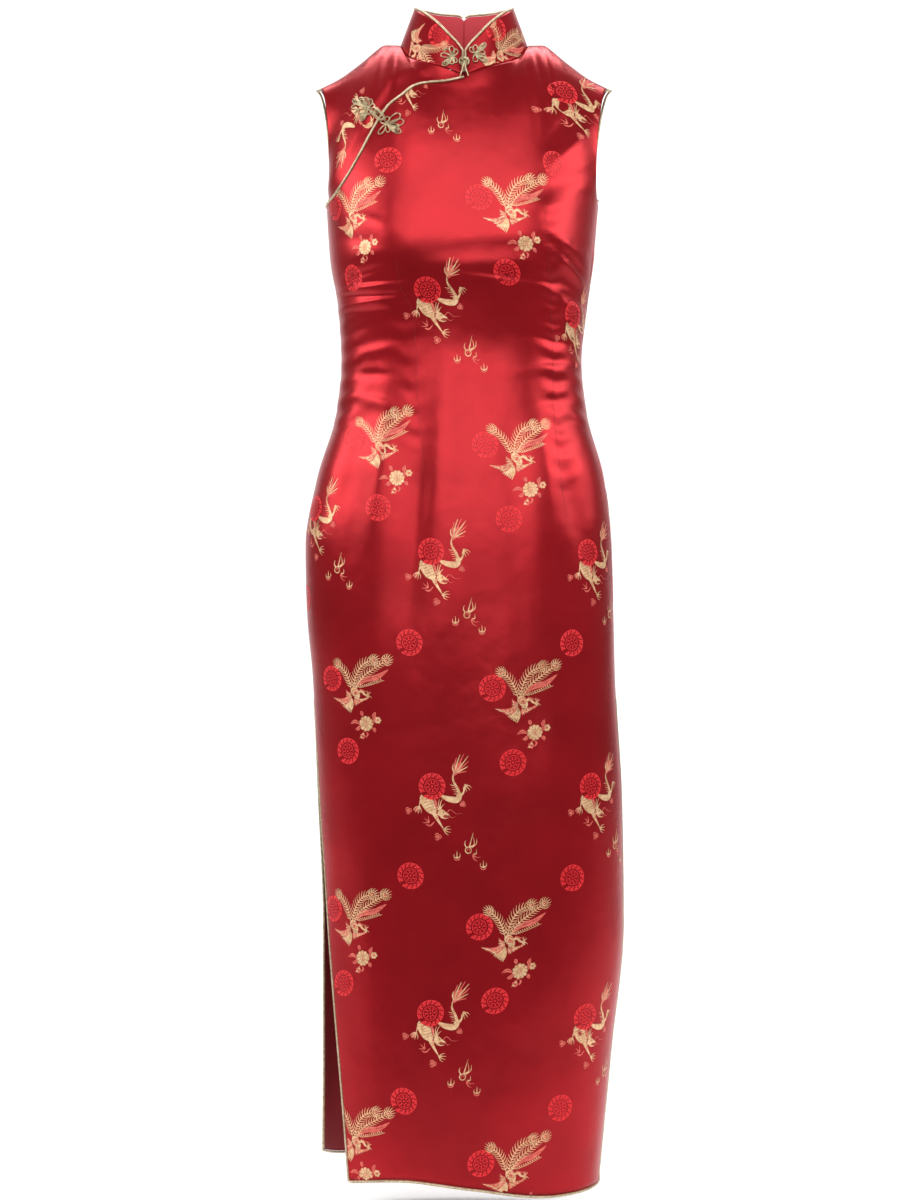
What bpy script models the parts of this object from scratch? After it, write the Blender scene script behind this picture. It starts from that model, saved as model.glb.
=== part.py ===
"""Long sleeveless satin evening dress with a stand collar, a piped diagonal opening and two side slits.

Metres, +Z up. The front faces -Y and the wearer's left is +X. The origin lies midway between the two points
where the shoulder seams meet the neckline. The dress is hollow and filled out on a general figure.
"""

import math
from collections import namedtuple

import bmesh
import bpy
from mathutils import Vector

# Cloth and trim
CLOTH = 0.0016
COLLAR_CLOTH = 0.0020
SEAM_GAP = 0.0003
SIDE_INSET = 0.00025
CENTRE_BACK_INSET = 0.00045
SHOULDER_INSET = 0.0007
ARMHOLE_CLEARANCE = 0.0013
PIPING_RADIUS = 0.0015
FROG_RADIUS = 0.0011
KNOT_RADIUS = 0.0030

# Heights down the dress
HEM_Z = -1.345
SLIT_TOP_Z = -0.760
PIPED_SLIT_TOP_Z = -0.782
TRIM_BASE_Z = -0.270
ARMPIT_Z = -0.192

# Columns across each panel and rows up it
FRONT_HALF_COLUMNS = 12
FRONT_NECK_COLUMNS = 5
BACK_COLUMNS = 12
BACK_NECK_COLUMNS = 5
SKIRT_ROWS = 11
BODICE_ROWS = 13
TOP_ROWS = 8
UNDER_ROWS = 6
COLLAR_ROWS = 3

# Neckline and shoulders: the collar is sewn round the neckline, the shoulder seam runs out to the armhole
NECK_HALF_WIDTH = 0.0768
NECK_FRONT = 0.0740
NECK_BACK = 0.0660
COLLAR_TOP_HALF_WIDTH = 0.0602
COLLAR_TOP_FRONT = 0.0620
COLLAR_TOP_BACK = 0.0600
COLLAR_END_GAP = 0.0036
CENTRE_COLUMN = 0.022
UNDER_GAP = 0.0013
UNDER_OVERLAP = 0.015
UNDER_STEP_FAR = 0.035

Section = namedtuple("Section", "z right left front back turn left_seam square")
SECTIONS = (
    Section(-1.345, 0.170, 0.1625, 0.100, 0.086, 5, 84, 2.3),
    Section(-1.200, 0.169, 0.1765, 0.101, 0.090, 5, 85, 2.3),
    Section(-1.050, 0.169, 0.1910, 0.104, 0.098, 7, 85, 2.3),
    Section(-0.900, 0.175, 0.189, 0.107, 0.105, 9, 84, 2.3),
    Section(-0.760, 0.181, 0.181, 0.109, 0.112, 12, 82, 2.3),
    Section(-0.680, 0.188, 0.179, 0.110, 0.116, 13, 79, 2.3),
    Section(-0.600, 0.190, 0.177, 0.110, 0.115, 14, 76, 2.3),
    Section(-0.520, 0.1765, 0.168, 0.106, 0.106, 14, 75, 2.3),
    Section(-0.440, 0.153, 0.147, 0.100, 0.093, 13, 80, 2.3),
    Section(-0.380, 0.147, 0.141, 0.098, 0.085, 12, 84, 2.3),
    Section(-0.320, 0.150, 0.147, 0.106, 0.090, 10, 80, 2.35),
    Section(-0.260, 0.160, 0.155, 0.121, 0.097, 7, 74, 2.4),
    Section(-0.192, 0.165, 0.161, 0.117, 0.100, 5, 78, 2.35),
)

# The front edges of the slits, as angles round the section: they swing forward towards the hem
SlitEdge = namedtuple("SlitEdge", "z front_right front_left back_right back_left")
SLIT_EDGES = (
    SlitEdge(-1.345, 48.5, 80.0, 93.0, 95.0),
    SlitEdge(-1.270, 52.5, 80.5, 93.0, 95.0),
    SlitEdge(-1.190, 57.5, 81.0, 93.0, 95.0),
    SlitEdge(-1.106, 63.5, 81.5, 93.0, 95.0),
    SlitEdge(-1.020, 70.0, 82.0, 93.0, 95.0),
    SlitEdge(-0.940, 73.0, 81.5, 92.0, 94.0),
    SlitEdge(-0.860, 76.0, 80.0, 92.0, 92.0),
    SlitEdge(-0.782, 84.0, 79.5, 92.5, 87.0),
    SlitEdge(-0.760, 90.0, 82.0, 90.0, 82.0),
)

RingPoint = namedtuple("RingPoint", "angle z")
NECKLINE = (
    RingPoint(0, -0.0500),
    RingPoint(22, -0.0390),
    RingPoint(52, -0.0255),
    RingPoint(90, -0.0015),
    RingPoint(135, -0.0100),
    RingPoint(180, -0.0140),
)
COLLAR_TOP = (
    RingPoint(0, -0.0225),
    RingPoint(7, -0.0125),
    RingPoint(16, -0.0025),
    RingPoint(35, 0.0170),
    RingPoint(60, 0.0335),
    RingPoint(90, 0.0440),
    RingPoint(135, 0.0500),
    RingPoint(172, 0.0505),
    RingPoint(180, 0.0465),
)

SeamPoint = namedtuple("SeamPoint", "x y z")
SHOULDER_SEAM = (
    SeamPoint(0.0768, 0.0000, -0.0015),
    SeamPoint(0.0960, 0.0000, -0.0010),
    SeamPoint(0.1060, 0.0000, -0.0090),
    SeamPoint(0.1270, 0.0005, -0.0250),
    SeamPoint(0.1490, 0.0010, -0.0400),
    SeamPoint(0.1740, 0.0020, -0.0520),
)

# The piped edge of the front, from the collar to the wearer's right armpit
EdgePoint = namedtuple("EdgePoint", "x z")
OPENING = (
    EdgePoint(0.0050, -0.0540),
    EdgePoint(-0.0150, -0.0585),
    EdgePoint(-0.0390, -0.0620),
    EdgePoint(-0.0585, -0.0665),
    EdgePoint(-0.0725, -0.0740),
    EdgePoint(-0.0840, -0.0830),
    EdgePoint(-0.0930, -0.0960),
    EdgePoint(-0.1000, -0.1070),
    EdgePoint(-0.1105, -0.1250),
    EdgePoint(-0.1200, -0.1435),
    EdgePoint(-0.1365, -0.1710),
    EdgePoint(-0.1530, -0.1905),
    EdgePoint(-0.1640, -0.1965),
    EdgePoint(-0.1720, -0.2000),
)

# How far the hems rise above their level line: the front's from the wearer's right to left, a back's from its seam
HemPoint = namedtuple("HemPoint", "u rise")
FRONT_HEM = (
    HemPoint(-1.0, 0.0020),
    HemPoint(-0.45, 0.0085),
    HemPoint(0.0, 0.0000),
    HemPoint(0.5, -0.0120),
    HemPoint(1.0, -0.0095),
)
BACK_HEM = (
    HemPoint(0.0, 0.0040),
    HemPoint(0.6, 0.0080),
    HemPoint(1.0, 0.0220),
)

# The largest folds and the cups, as soft ridges (hollows where the height is negative) on the front
Fold = namedtuple("Fold", "x z slope half_length half_width height")
FRONT_FOLDS = (
    Fold(-0.078, -0.240, 0, 0.045, 0.045, 0.007),
    Fold(0.086, -0.240, 0, 0.045, 0.045, 0.007),
    Fold(0.110, -0.150, 35, 0.055, 0.018, 0.004),
    Fold(-0.110, -0.315, 12, 0.040, 0.016, 0.003),
    Fold(0.120, -0.290, -35, 0.035, 0.016, -0.003),
    Fold(-0.128, -0.560, 82, 0.075, 0.020, -0.004),
    Fold(-0.060, -0.580, 86, 0.110, 0.024, -0.004),
    Fold(-0.030, -0.520, 88, 0.070, 0.022, 0.003),
    Fold(0.085, -0.550, 92, 0.090, 0.026, 0.003),
    Fold(0.050, -1.100, 90, 0.200, 0.030, 0.003),
    Fold(-0.070, -1.150, 90, 0.180, 0.028, -0.003),
)
BACK_FOLDS = (
    Fold(-0.070, -0.560, 88, 0.090, 0.026, 0.003),
    Fold(0.075, -0.580, 92, 0.090, 0.026, 0.003),
    Fold(-0.060, -0.340, 8, 0.050, 0.018, -0.003),
    Fold(0.060, -0.350, -8, 0.050, 0.018, -0.003),
    Fold(-0.060, -1.120, 90, 0.180, 0.030, 0.003),
    Fold(0.070, -1.080, 90, 0.180, 0.030, -0.003),
)

# Frog fastenings: closed loops of fine tube, laid as petals round a centre
Petal = namedtuple("Petal", "angle length width")
Flower = namedtuple("Flower", "node x z petals")
CHEST_UPPER = Flower("chest_frog_flower_upper", -0.1125, -0.0885, (
    Petal(75, 0.0120, 0.0044),
    Petal(128, 0.0160, 0.0046),
    Petal(165, 0.0200, 0.0046),
    Petal(205, 0.0150, 0.0042),
    Petal(243, 0.0170, 0.0044),
    Petal(285, 0.0085, 0.0040),
))
CHEST_LOWER = Flower("chest_frog_flower_lower", -0.0895, -0.1095, (
    Petal(2, 0.0185, 0.0046),
    Petal(38, 0.0170, 0.0048),
    Petal(76, 0.0080, 0.0038),
    Petal(238, 0.0160, 0.0044),
    Petal(282, 0.0110, 0.0040),
    Petal(323, 0.0190, 0.0048),
))
COLLAR_RIGHT = Flower("collar_frog_flower_right", -0.0125, -0.0285, (
    Petal(70, 0.0100, 0.0042),
    Petal(120, 0.0140, 0.0046),
    Petal(165, 0.0150, 0.0046),
    Petal(222, 0.0150, 0.0044),
    Petal(285, 0.0080, 0.0042),
))
COLLAR_LEFT = Flower("collar_frog_flower_left", 0.0125, -0.0255, (
    Petal(52, 0.0165, 0.0046),
    Petal(105, 0.0110, 0.0042),
    Petal(275, 0.0090, 0.0042),
    Petal(325, 0.0160, 0.0046),
))
PETAL_SHAPE = ((0.50, -0.42), (0.86, -0.40), (1.00, 0.0), (0.86, 0.40), (0.50, 0.42))
FLOWER_EYE = 0.0026
CHEST_KNOT = EdgePoint(-0.1036, -0.0943)
CHEST_LOOP = EdgePoint(-0.0998, -0.0984)
COLLAR_KNOT = EdgePoint(0.0002, -0.0345)
CHEST_LOOP_LENGTH = 0.0100
COLLAR_LOOP_LENGTH = 0.0060
KNOT_LOOP_WIDTH = 0.0047
KNOT_LOOP_SQUARE = 4.0

# Colours, as linear values, with roughness and metallic
Finish = namedtuple("Finish", "colour roughness metallic")
SATIN = Finish((0.42, 0.012, 0.022), 0.36, 0.0)
LINING = Finish((0.40, 0.020, 0.035), 0.60, 0.0)
GOLD_CORD = Finish((0.62, 0.52, 0.36), 0.42, 0.15)

AWAY_FROM_FRONT = Vector((0.0, -1.0, 0.0))
PROBE = 0.0005
TOUCHING = 1e-6


def clear_scene():
    for old in list(bpy.data.objects):
        bpy.data.objects.remove(old, do_unlink=True)


def make_material(name, finish):
    material = bpy.data.materials.new(name)
    material.use_nodes = True
    shader = material.node_tree.nodes["Principled BSDF"]
    shader.inputs["Base Color"].default_value = (*finish.colour, 1.0)
    shader.inputs["Roughness"].default_value = finish.roughness
    shader.inputs["Metallic"].default_value = finish.metallic
    material.diffuse_color = (*finish.colour, 1.0)
    return material


# Smooth tables

def smooth_value(rows, key, value, at):
    """The value column of a table at one key, on a smooth line through its rows. Keys rise or fall evenly."""
    keys = [getattr(row, key) for row in rows]
    values = [getattr(row, value) for row in rows]
    if keys[0] > keys[-1]:
        keys.reverse()
        values.reverse()
    if at <= keys[0]:
        return values[0]
    if at >= keys[-1]:
        return values[-1]
    index = max(i for i in range(len(keys) - 1) if keys[i] <= at)
    slopes = [(values[i + 1] - values[i]) / (keys[i + 1] - keys[i]) for i in range(len(keys) - 1)]

    def tangent(i):
        if i == 0:
            return slopes[0]
        if i == len(keys) - 1:
            return slopes[-1]
        if slopes[i - 1] * slopes[i] <= 0:
            return 0.0
        return 2 * slopes[i - 1] * slopes[i] / (slopes[i - 1] + slopes[i])

    span = keys[index + 1] - keys[index]
    t = (at - keys[index]) / span
    start = (2 * t**3 - 3 * t**2 + 1) * values[index] + (t**3 - 2 * t**2 + t) * span * tangent(index)
    end = (3 * t**2 - 2 * t**3) * values[index + 1] + (t**3 - t**2) * span * tangent(index + 1)
    return start + end


def section_value(name, z):
    return smooth_value(SECTIONS, "z", name, z)


# The form of the dress

def section_point(angle, z):
    """A point on the section at one height, with the angle in degrees from the centre front towards +X."""
    right = section_value("right", z)
    left = section_value("left", z)
    square = section_value("square", z)
    sine = math.sin(math.radians(angle))
    cosine = math.cos(math.radians(angle))
    depth = section_value("front" if cosine > 0 else "back", z)
    stretch = (abs(sine) ** square + abs(cosine) ** square) ** (-1 / square)
    half_width = (right + left) / 2
    return Vector(((left - right) / 2 + half_width * sine * stretch, -depth * cosine * stretch, z))


def side_angle(side, z):
    """Where a panel's side edge lies round the section: side is front_right, front_left, back_right or back_left."""
    if z < SLIT_TOP_Z:
        return smooth_value(SLIT_EDGES, "z", side, z)
    return 90.0 if side.endswith("right") else section_value("left_seam", z)


def neckline_point(angle, front, back, half_width, heights):
    sine = math.sin(math.radians(angle))
    cosine = math.cos(math.radians(angle))
    depth = front if cosine > 0 else back
    return Vector((half_width * sine, -depth * cosine, smooth_value(heights, "angle", "z", abs(angle))))


def neck_edge(angle):
    return neckline_point(angle, NECK_FRONT, NECK_BACK, NECK_HALF_WIDTH, NECKLINE)


def shoulder_point(along, side, gap):
    """A point on the shoulder seam, from 0 at the neck to 1 at the armhole."""
    x = SHOULDER_SEAM[0].x + along * (SHOULDER_SEAM[-1].x - SHOULDER_SEAM[0].x)
    y = smooth_value(SHOULDER_SEAM, "x", "y", x)
    z = smooth_value(SHOULDER_SEAM, "x", "z", x)
    return Vector((side * x, y + gap, z))


def bezier(points, t):
    a, b, c, d = points
    return a * (1 - t) ** 3 + b * 3 * t * (1 - t) ** 2 + c * 3 * t**2 * (1 - t) + d * t**3


def blend(a, b, t):
    return a * (1 - t) + b * t


def smooth_step(low, high, value):
    t = min(1.0, max(0.0, (value - low) / (high - low)))
    return t * t * (3 - 2 * t)


def fold_height(folds, point):
    """How far the folds push the cloth out at a point."""
    height = 0.0
    for fold in folds:
        slope = math.radians(fold.slope)
        dx = point.x - fold.x
        dz = point.z - fold.z
        along = (dx * math.cos(slope) + dz * math.sin(slope)) / fold.half_length
        across = (dz * math.cos(slope) - dx * math.sin(slope)) / fold.half_width
        height += fold.height * math.exp(-(along**2) - across**2)
    return height


def upper_curve(angle, edge, arrive, scoop, lean):
    """The four points of the curve that carries a panel from the armpit's section up to its top edge."""
    start = section_point(angle, ARMPIT_Z)
    rise = (start - section_point(angle, ARMPIT_Z - 0.02)).normalized()
    climb = edge.z - ARMPIT_Z
    second = blend(start + rise * climb * 0.42, start + scoop, lean)
    return start, second, edge - arrive, edge


def front_base_point(u, height):
    """The front's outer face before its folds: u runs from -1 at the right side seam to 1 at the left."""
    z = min(height, ARMPIT_Z)
    right = side_angle("front_right", z)
    left = side_angle("front_left", z)
    turn = section_value("turn", z)
    angle = (left + right) / 2 * u + (left - right) / 2 * u * u + turn * (1 - u * u)
    if height <= ARMPIT_Z:
        return section_point(angle, z)
    neck = FRONT_NECK_COLUMNS / FRONT_HALF_COLUMNS
    side = math.copysign(1.0, u)
    outward = max(0.0, (abs(u) - neck) / (1 - neck))
    neckward = min(1.0, abs(u) / neck)
    if abs(u) < neck - TOUCHING:
        edge = neck_edge(90 * u / neck)
    else:
        edge = shoulder_point(outward, side, -SHOULDER_INSET)
    over_neck = blend(Vector((0.0, 0.016, 0.046)), Vector((0.0, 0.050, -0.010)), smooth_step(0.3, 1.0, neckward))
    over_tip = Vector((side * 0.013, 0.044, -0.008))
    arrive = blend(over_neck, over_tip, outward**2)
    scoop = Vector((-side * 0.009, -0.052, 0.016))
    points = upper_curve(angle, edge, arrive, scoop, abs(u) ** 3)
    return bezier(points, (height - ARMPIT_Z) / -ARMPIT_Z)


def back_base_point(u, height, side):
    """The back's outer face before its folds: u runs from 0 at the centre back to 1 at the side seam."""
    z = min(height, ARMPIT_Z)
    reach = side_angle("back_left" if side > 0 else "back_right", z)
    angle = side * (180 - (180 - reach) * u)
    if height <= ARMPIT_Z:
        return section_point(angle, z)
    neck = BACK_NECK_COLUMNS / BACK_COLUMNS
    outward = max(0.0, (u - neck) / (1 - neck))
    neckward = min(1.0, u / neck)
    if u < neck - TOUCHING:
        edge = neck_edge(side * (180 - 90 * u / neck))
    else:
        edge = shoulder_point(outward, side, SHOULDER_INSET)
    over_neck = blend(Vector((0.0, -0.016, 0.040)), Vector((0.0, -0.050, -0.010)), smooth_step(0.3, 1.0, neckward))
    over_tip = Vector((side * 0.012, -0.044, -0.008))
    arrive = blend(over_neck, over_tip, outward**2)
    scoop = Vector((-side * 0.009, 0.050, 0.018))
    points = upper_curve(angle, edge, arrive, scoop, u**3)
    return bezier(points, (height - ARMPIT_Z) / -ARMPIT_Z)


def surface_normal(surface, u, height):
    across = surface(u + PROBE * 4, height) - surface(u - PROBE * 4, height)
    up = surface(u, height + PROBE) - surface(u, height - PROBE)
    return across.cross(up).normalized()


def front_normal(u, height):
    return surface_normal(front_base_point, max(-0.99, min(0.99, u)), min(height, -PROBE * 2))


def back_normal(u, height, side):
    normal = surface_normal(lambda a, b: back_base_point(a, b, side), max(0.01, min(0.99, u)), min(height, -PROBE * 2))
    return normal * -side


def hem_share(height):
    return smooth_step(0.0, 1.0, (SLIT_TOP_Z - height) / (SLIT_TOP_Z - HEM_Z))


def front_point(u, height):
    """The front's outer face. The folds fade out at the side seams and at the top edges."""
    height += hem_share(height) * smooth_value(FRONT_HEM, "u", "rise", u)
    base = front_base_point(u, height)
    fade = (1 - abs(u) ** 8) * smooth_step(0.0, 0.06, -height)
    inset = Vector((0.0, SIDE_INSET * smooth_step(0.9, 1.0, abs(u)), 0.0))
    return base + front_normal(u, height) * fold_height(FRONT_FOLDS, base) * fade - inset


def back_point(u, height, side):
    height += hem_share(height) * smooth_value(BACK_HEM, "u", "rise", u)
    base = back_base_point(u, height, side)
    fade = (1 - u**8) * smooth_step(0.0, 0.06, -height)
    centre_inset = side * CENTRE_BACK_INSET * (1 - smooth_step(0.0, 0.1, u))
    inset = Vector((centre_inset, SIDE_INSET * smooth_step(0.9, 1.0, u), 0.0))
    return base + back_normal(u, height, side) * fold_height(BACK_FOLDS, base) * fade + inset


def opening_height(u):
    """How high the front reaches in one column: to the piped edge on the wearer's right, else to the top."""
    if u > CENTRE_COLUMN / 2:
        return 0.0
    low = TRIM_BASE_Z
    high = 0.0
    for _ in range(30):
        middle = (low + high) / 2
        point = front_base_point(u, middle)
        if point.z < smooth_value(OPENING, "x", "z", point.x):
            low = middle
        else:
            high = middle
    return low


def under_step(u, height):
    """How far the under front lies inside the front: a cloth's thickness at the piped edge, nothing further up."""
    above = height - opening_height(u)
    return (CLOTH + UNDER_GAP) * (1 - smooth_step(UNDER_STEP_FAR / 3, UNDER_STEP_FAR, above))


def under_front_point(u, height):
    return front_point(u, height) - front_normal(u, height) * under_step(u, height)


# Making panels

def even_steps(start, end, count):
    return [start + (end - start) * i / count for i in range(count + 1)]


def grid_panel(collection, name, columns, rows, place, thickness, material, outward):
    """A wall of cloth: a grid whose points are put on a surface, given its thickness towards the inside."""
    mesh = bpy.data.meshes.new(name)
    grid = bmesh.new()
    bmesh.ops.create_grid(grid, x_segments=columns - 1, y_segments=rows - 1, size=0.5)
    for vert in grid.verts:
        column = round((vert.co.x + 0.5) * (columns - 1))
        row = round((vert.co.y + 0.5) * (rows - 1))
        vert.co = place(column, row)
    grid.normal_update()
    middle = min(grid.faces, key=lambda face: (face.calc_center_median() - outward[0]).length)
    if middle.normal.dot(outward[1]) < 0:
        bmesh.ops.reverse_faces(grid, faces=grid.faces)
    grid.to_mesh(mesh)
    grid.free()
    mesh.shade_smooth()
    mesh.materials.append(material)
    panel = bpy.data.objects.new(name, mesh)
    collection.objects.link(panel)
    wall = panel.modifiers.new("cloth", "SOLIDIFY")
    wall.thickness = thickness
    wall.offset = -1.0
    wall.use_even_offset = True
    wall.use_rim = True
    return panel


def body_rows():
    """Heights of the rows that the front and the backs share, from hem to the base of the piped opening."""
    skirt = even_steps(HEM_Z, PIPED_SLIT_TOP_Z, SKIRT_ROWS)
    return skirt + even_steps(SLIT_TOP_Z, TRIM_BASE_Z, BODICE_ROWS)


def front_columns():
    columns = even_steps(-1.0, 1.0, 2 * FRONT_HALF_COLUMNS)
    columns.insert(FRONT_HALF_COLUMNS + 1, CENTRE_COLUMN)
    return columns


def build_front(collection, material):
    columns = front_columns()
    body = body_rows()

    def place(column, row):
        u = columns[column]
        if row < len(body):
            return front_point(u, body[row])
        share = (row - len(body) + 1) / TOP_ROWS
        return front_point(u, TRIM_BASE_Z + share * (opening_height(u) - TRIM_BASE_Z))

    waist = (section_point(0, -0.5), AWAY_FROM_FRONT)
    grid_panel(collection, "front_panel", len(columns), len(body) + TOP_ROWS, place, CLOTH, material, waist)


def build_under_front(collection, material):
    columns = even_steps(-1.0, 0.0, FRONT_HALF_COLUMNS)

    def place(column, row):
        u = columns[column]
        low = opening_height(u) - UNDER_OVERLAP
        return under_front_point(u, low * (1 - row / UNDER_ROWS))

    chest = (section_point(-45, -0.1), AWAY_FROM_FRONT)
    grid_panel(collection, "under_front", len(columns), UNDER_ROWS + 1, place, CLOTH, material, chest)


def build_back(collection, name, side, material):
    columns = even_steps(0.0, 1.0, BACK_COLUMNS)
    rows = body_rows() + even_steps(TRIM_BASE_Z, 0.0, TOP_ROWS)[1:]

    def place(column, row):
        return back_point(columns[column], rows[row], side)

    waist = (section_point(side * 150, -0.5), -AWAY_FROM_FRONT)
    grid_panel(collection, name, len(columns), len(rows), place, CLOTH, material, waist)


def collar_point(angle, share):
    """The collar's outer face: angle in degrees round the neck, share 0 at the neckline and 1 at the top edge."""
    bottom = neck_edge(angle) + Vector((0.0, 0.0, SEAM_GAP))
    top = neckline_point(angle, COLLAR_TOP_FRONT, COLLAR_TOP_BACK, COLLAR_TOP_HALF_WIDTH, COLLAR_TOP)
    return blend(bottom, top, share)


def collar_angles():
    """Angles of a collar half's columns: they meet the front's and the backs' columns at the neckline."""
    first = math.degrees(COLLAR_END_GAP / NECK_HALF_WIDTH)
    front = even_steps(0, 90, FRONT_NECK_COLUMNS)[1:]
    back = even_steps(90, 180, BACK_NECK_COLUMNS)[1:-1]
    last = 180 - math.degrees(SEAM_GAP / 2 / NECK_BACK)
    return [first, 8.0] + front + back + [172.0, last]


def build_collar(collection, name, side, material):
    angles = collar_angles()

    def place(column, row):
        return collar_point(side * angles[column], row / COLLAR_ROWS)

    outside = (collar_point(side * 90, 0.5), Vector((side, 0.0, 0.0)))
    grid_panel(collection, name, len(angles), COLLAR_ROWS + 1, place, COLLAR_CLOTH, material, outside)


# Piping and frogs

def tube(collection, name, points, radius, closed, material, resolution=1):
    data = bpy.data.curves.new(name, "CURVE")
    data.dimensions = "3D"
    data.bevel_depth = radius
    data.bevel_resolution = resolution
    data.use_fill_caps = not closed
    line = data.splines.new("POLY")
    line.points.add(len(points) - 1)
    for point, place in zip(line.points, points):
        point.co = (*place, 1.0)
    line.use_cyclic_u = closed
    data.materials.append(material)
    cord = bpy.data.objects.new(name, data)
    collection.objects.link(cord)
    return cord


def beside_edge(edge, normals, side, distance, inset, closed=False):
    """A line beside a panel's edge: each point steps off the edge in the cloth's plane, and in by the inset."""
    count = len(edge)
    line = []
    for i, point in enumerate(edge):
        before = edge[i - 1] if i or closed else point
        after = edge[(i + 1) % count] if i < count - 1 or closed else point
        steps = []
        for run in (point - before, after - point):
            if run.length > TOUCHING:
                steps.append(run.normalized().cross(normals[i]).normalized() * side)
        if len(steps) == 2:
            out = (steps[0] + steps[1]) / (1 + steps[0].dot(steps[1]))
        else:
            out = steps[0]
        line.append(point + out * distance - normals[i] * inset)
    return line


def front_edge_line():
    """Down the right slit, along the hem and up the left slit."""
    skirt = [z for z in body_rows() if z <= PIPED_SLIT_TOP_Z + TOUCHING]
    places = [(-1.0, z) for z in reversed(skirt)]
    places += [(u, HEM_Z) for u in front_columns()[1:-1] if u != CENTRE_COLUMN]
    places += [(1.0, z) for z in skirt]
    return [front_point(u, z) for u, z in places], [front_normal(u, z) for u, z in places]


def back_edge_line(side):
    """Along the hem from the centre back and up the slit."""
    skirt = [z for z in body_rows() if z <= PIPED_SLIT_TOP_Z + TOUCHING]
    places = [(u, HEM_Z) for u in even_steps(0.0, 1.0, BACK_COLUMNS)[:-1]]
    places += [(1.0, z) for z in skirt]
    return [back_point(u, z, side) for u, z in places], [back_normal(u, z, side) for u, z in places]


def build_skirt_pipings(collection, material):
    off = PIPING_RADIUS + SEAM_GAP
    points, normals = front_edge_line()
    line = beside_edge(points, normals, 1, off, CLOTH / 2)
    tube(collection, "front_edge_piping", line, PIPING_RADIUS, False, material)
    for name, side in (("back_edge_piping_right", -1), ("back_edge_piping_left", 1)):
        points, normals = back_edge_line(side)
        line = beside_edge(points, normals, -side, off, CLOTH / 2)
        line[0].x += side * SEAM_GAP
        tube(collection, name, line, PIPING_RADIUS, False, material)


def opening_columns():
    return [u for u in front_columns() if -1.0 < u <= 0.0]


def build_opening_piping(collection, material):
    places = [(u, opening_height(u)) for u in opening_columns()]
    points = [front_point(u, h) for u, h in places]
    normals = [front_normal(u, h) for u, h in places]
    line = beside_edge(points, normals, -1, PIPING_RADIUS + SEAM_GAP, 0.0)
    tube(collection, "opening_piping", line, PIPING_RADIUS, False, material)


def build_armhole_pipings(collection, material):
    steps = even_steps(0.0, 1.0, TOP_ROWS)
    for name, side in (("armhole_piping_right", -1), ("armhole_piping_left", 1)):
        heights = [ARMPIT_Z * (1 - step) for step in steps]
        points = [front_point(side, h) for h in heights]
        normals = [front_normal(side, h) for h in heights]
        points += [back_point(1.0, h, side) for h in reversed(heights[1:-1])]
        normals += [back_normal(1.0, h, side) for h in reversed(heights[1:-1])]
        line = beside_edge(points, normals, side, PIPING_RADIUS + ARMHOLE_CLEARANCE, 0.0, closed=True)
        tube(collection, name, line, PIPING_RADIUS, True, material)


def collar_normal(angle, share):
    across = collar_point(angle + 0.5, share) - collar_point(angle - 0.5, share)
    up = collar_point(angle, share + 0.02) - collar_point(angle, share - 0.02)
    return across.cross(up).normalized()


def build_collar_pipings(collection, material):
    angles = collar_angles()
    shares = even_steps(0.12, 1.0, COLLAR_ROWS)
    for name, side in (("collar_piping_right", -1), ("collar_piping_left", 1)):
        places = [(angles[0], share) for share in shares[:-1]]
        places += [(angle, 1.0) for angle in angles[:-1]]
        points = [collar_point(side * angle, share) for angle, share in places]
        normals = [collar_normal(side * angle, share) for angle, share in places]
        line = beside_edge(points, normals, -side, PIPING_RADIUS + SEAM_GAP, COLLAR_CLOTH / 2)
        tube(collection, name, line, PIPING_RADIUS, False, material)


def find_place(surface, start, x, z):
    """The surface coordinates of the point seen at x and z from the front, by Newton's steps."""
    a, b = start
    step_a, step_b = 0.002, 0.001
    for _ in range(25):
        here = surface(a, b)
        by_a = (surface(a + step_a, b) - here) / step_a
        by_b = (surface(a, b + step_b) - here) / step_b
        det = by_a.x * by_b.z - by_b.x * by_a.z
        dx = x - here.x
        dz = z - here.z
        a += (dx * by_b.z - by_b.x * dz) / det
        b += (by_a.x * dz - dx * by_a.z) / det
    return a, b


def on_front(x, z, lift, under):
    surface = under_front_point if under else front_point
    u, height = find_place(front_base_point, (x / 0.17, z * 1.2), x, z)
    return surface(u, height) + front_normal(u, height) * lift


def on_collar(x, z, lift):
    """A point on the collar near the centre front, seen at x and z."""
    angle, share = find_place(lambda a, b: collar_point(a * 90, b), (x / 0.07, 0.5), x, z)
    return collar_point(angle * 90, share) + collar_normal(angle * 90, share) * lift


def flower_outline(petals):
    """One closed line round all petals, anticlockwise: out one side, round the tip, back, then a step at the eye."""
    petals = sorted(petals, key=lambda petal: petal.angle)
    points = []
    for petal, following in zip(petals, petals[1:] + petals[:1]):
        angle = math.radians(petal.angle)
        for reach, width in PETAL_SHAPE:
            along = reach * petal.length
            across = width * petal.width
            x = along * math.cos(angle) - across * math.sin(angle)
            z = along * math.sin(angle) + across * math.cos(angle)
            points.append((x, z))
        turn = (following.angle - petal.angle) % 360
        valley = math.radians(petal.angle + turn / 2)
        points.append((FLOWER_EYE * math.cos(valley), FLOWER_EYE * math.sin(valley)))
    return points


def build_flower(collection, flower, place, material):
    lift = FROG_RADIUS + SEAM_GAP
    points = [place(flower.x + x, flower.z + z, lift) for x, z in flower_outline(flower.petals)]
    tube(collection, flower.node, points, FROG_RADIUS, True, material)


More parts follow.
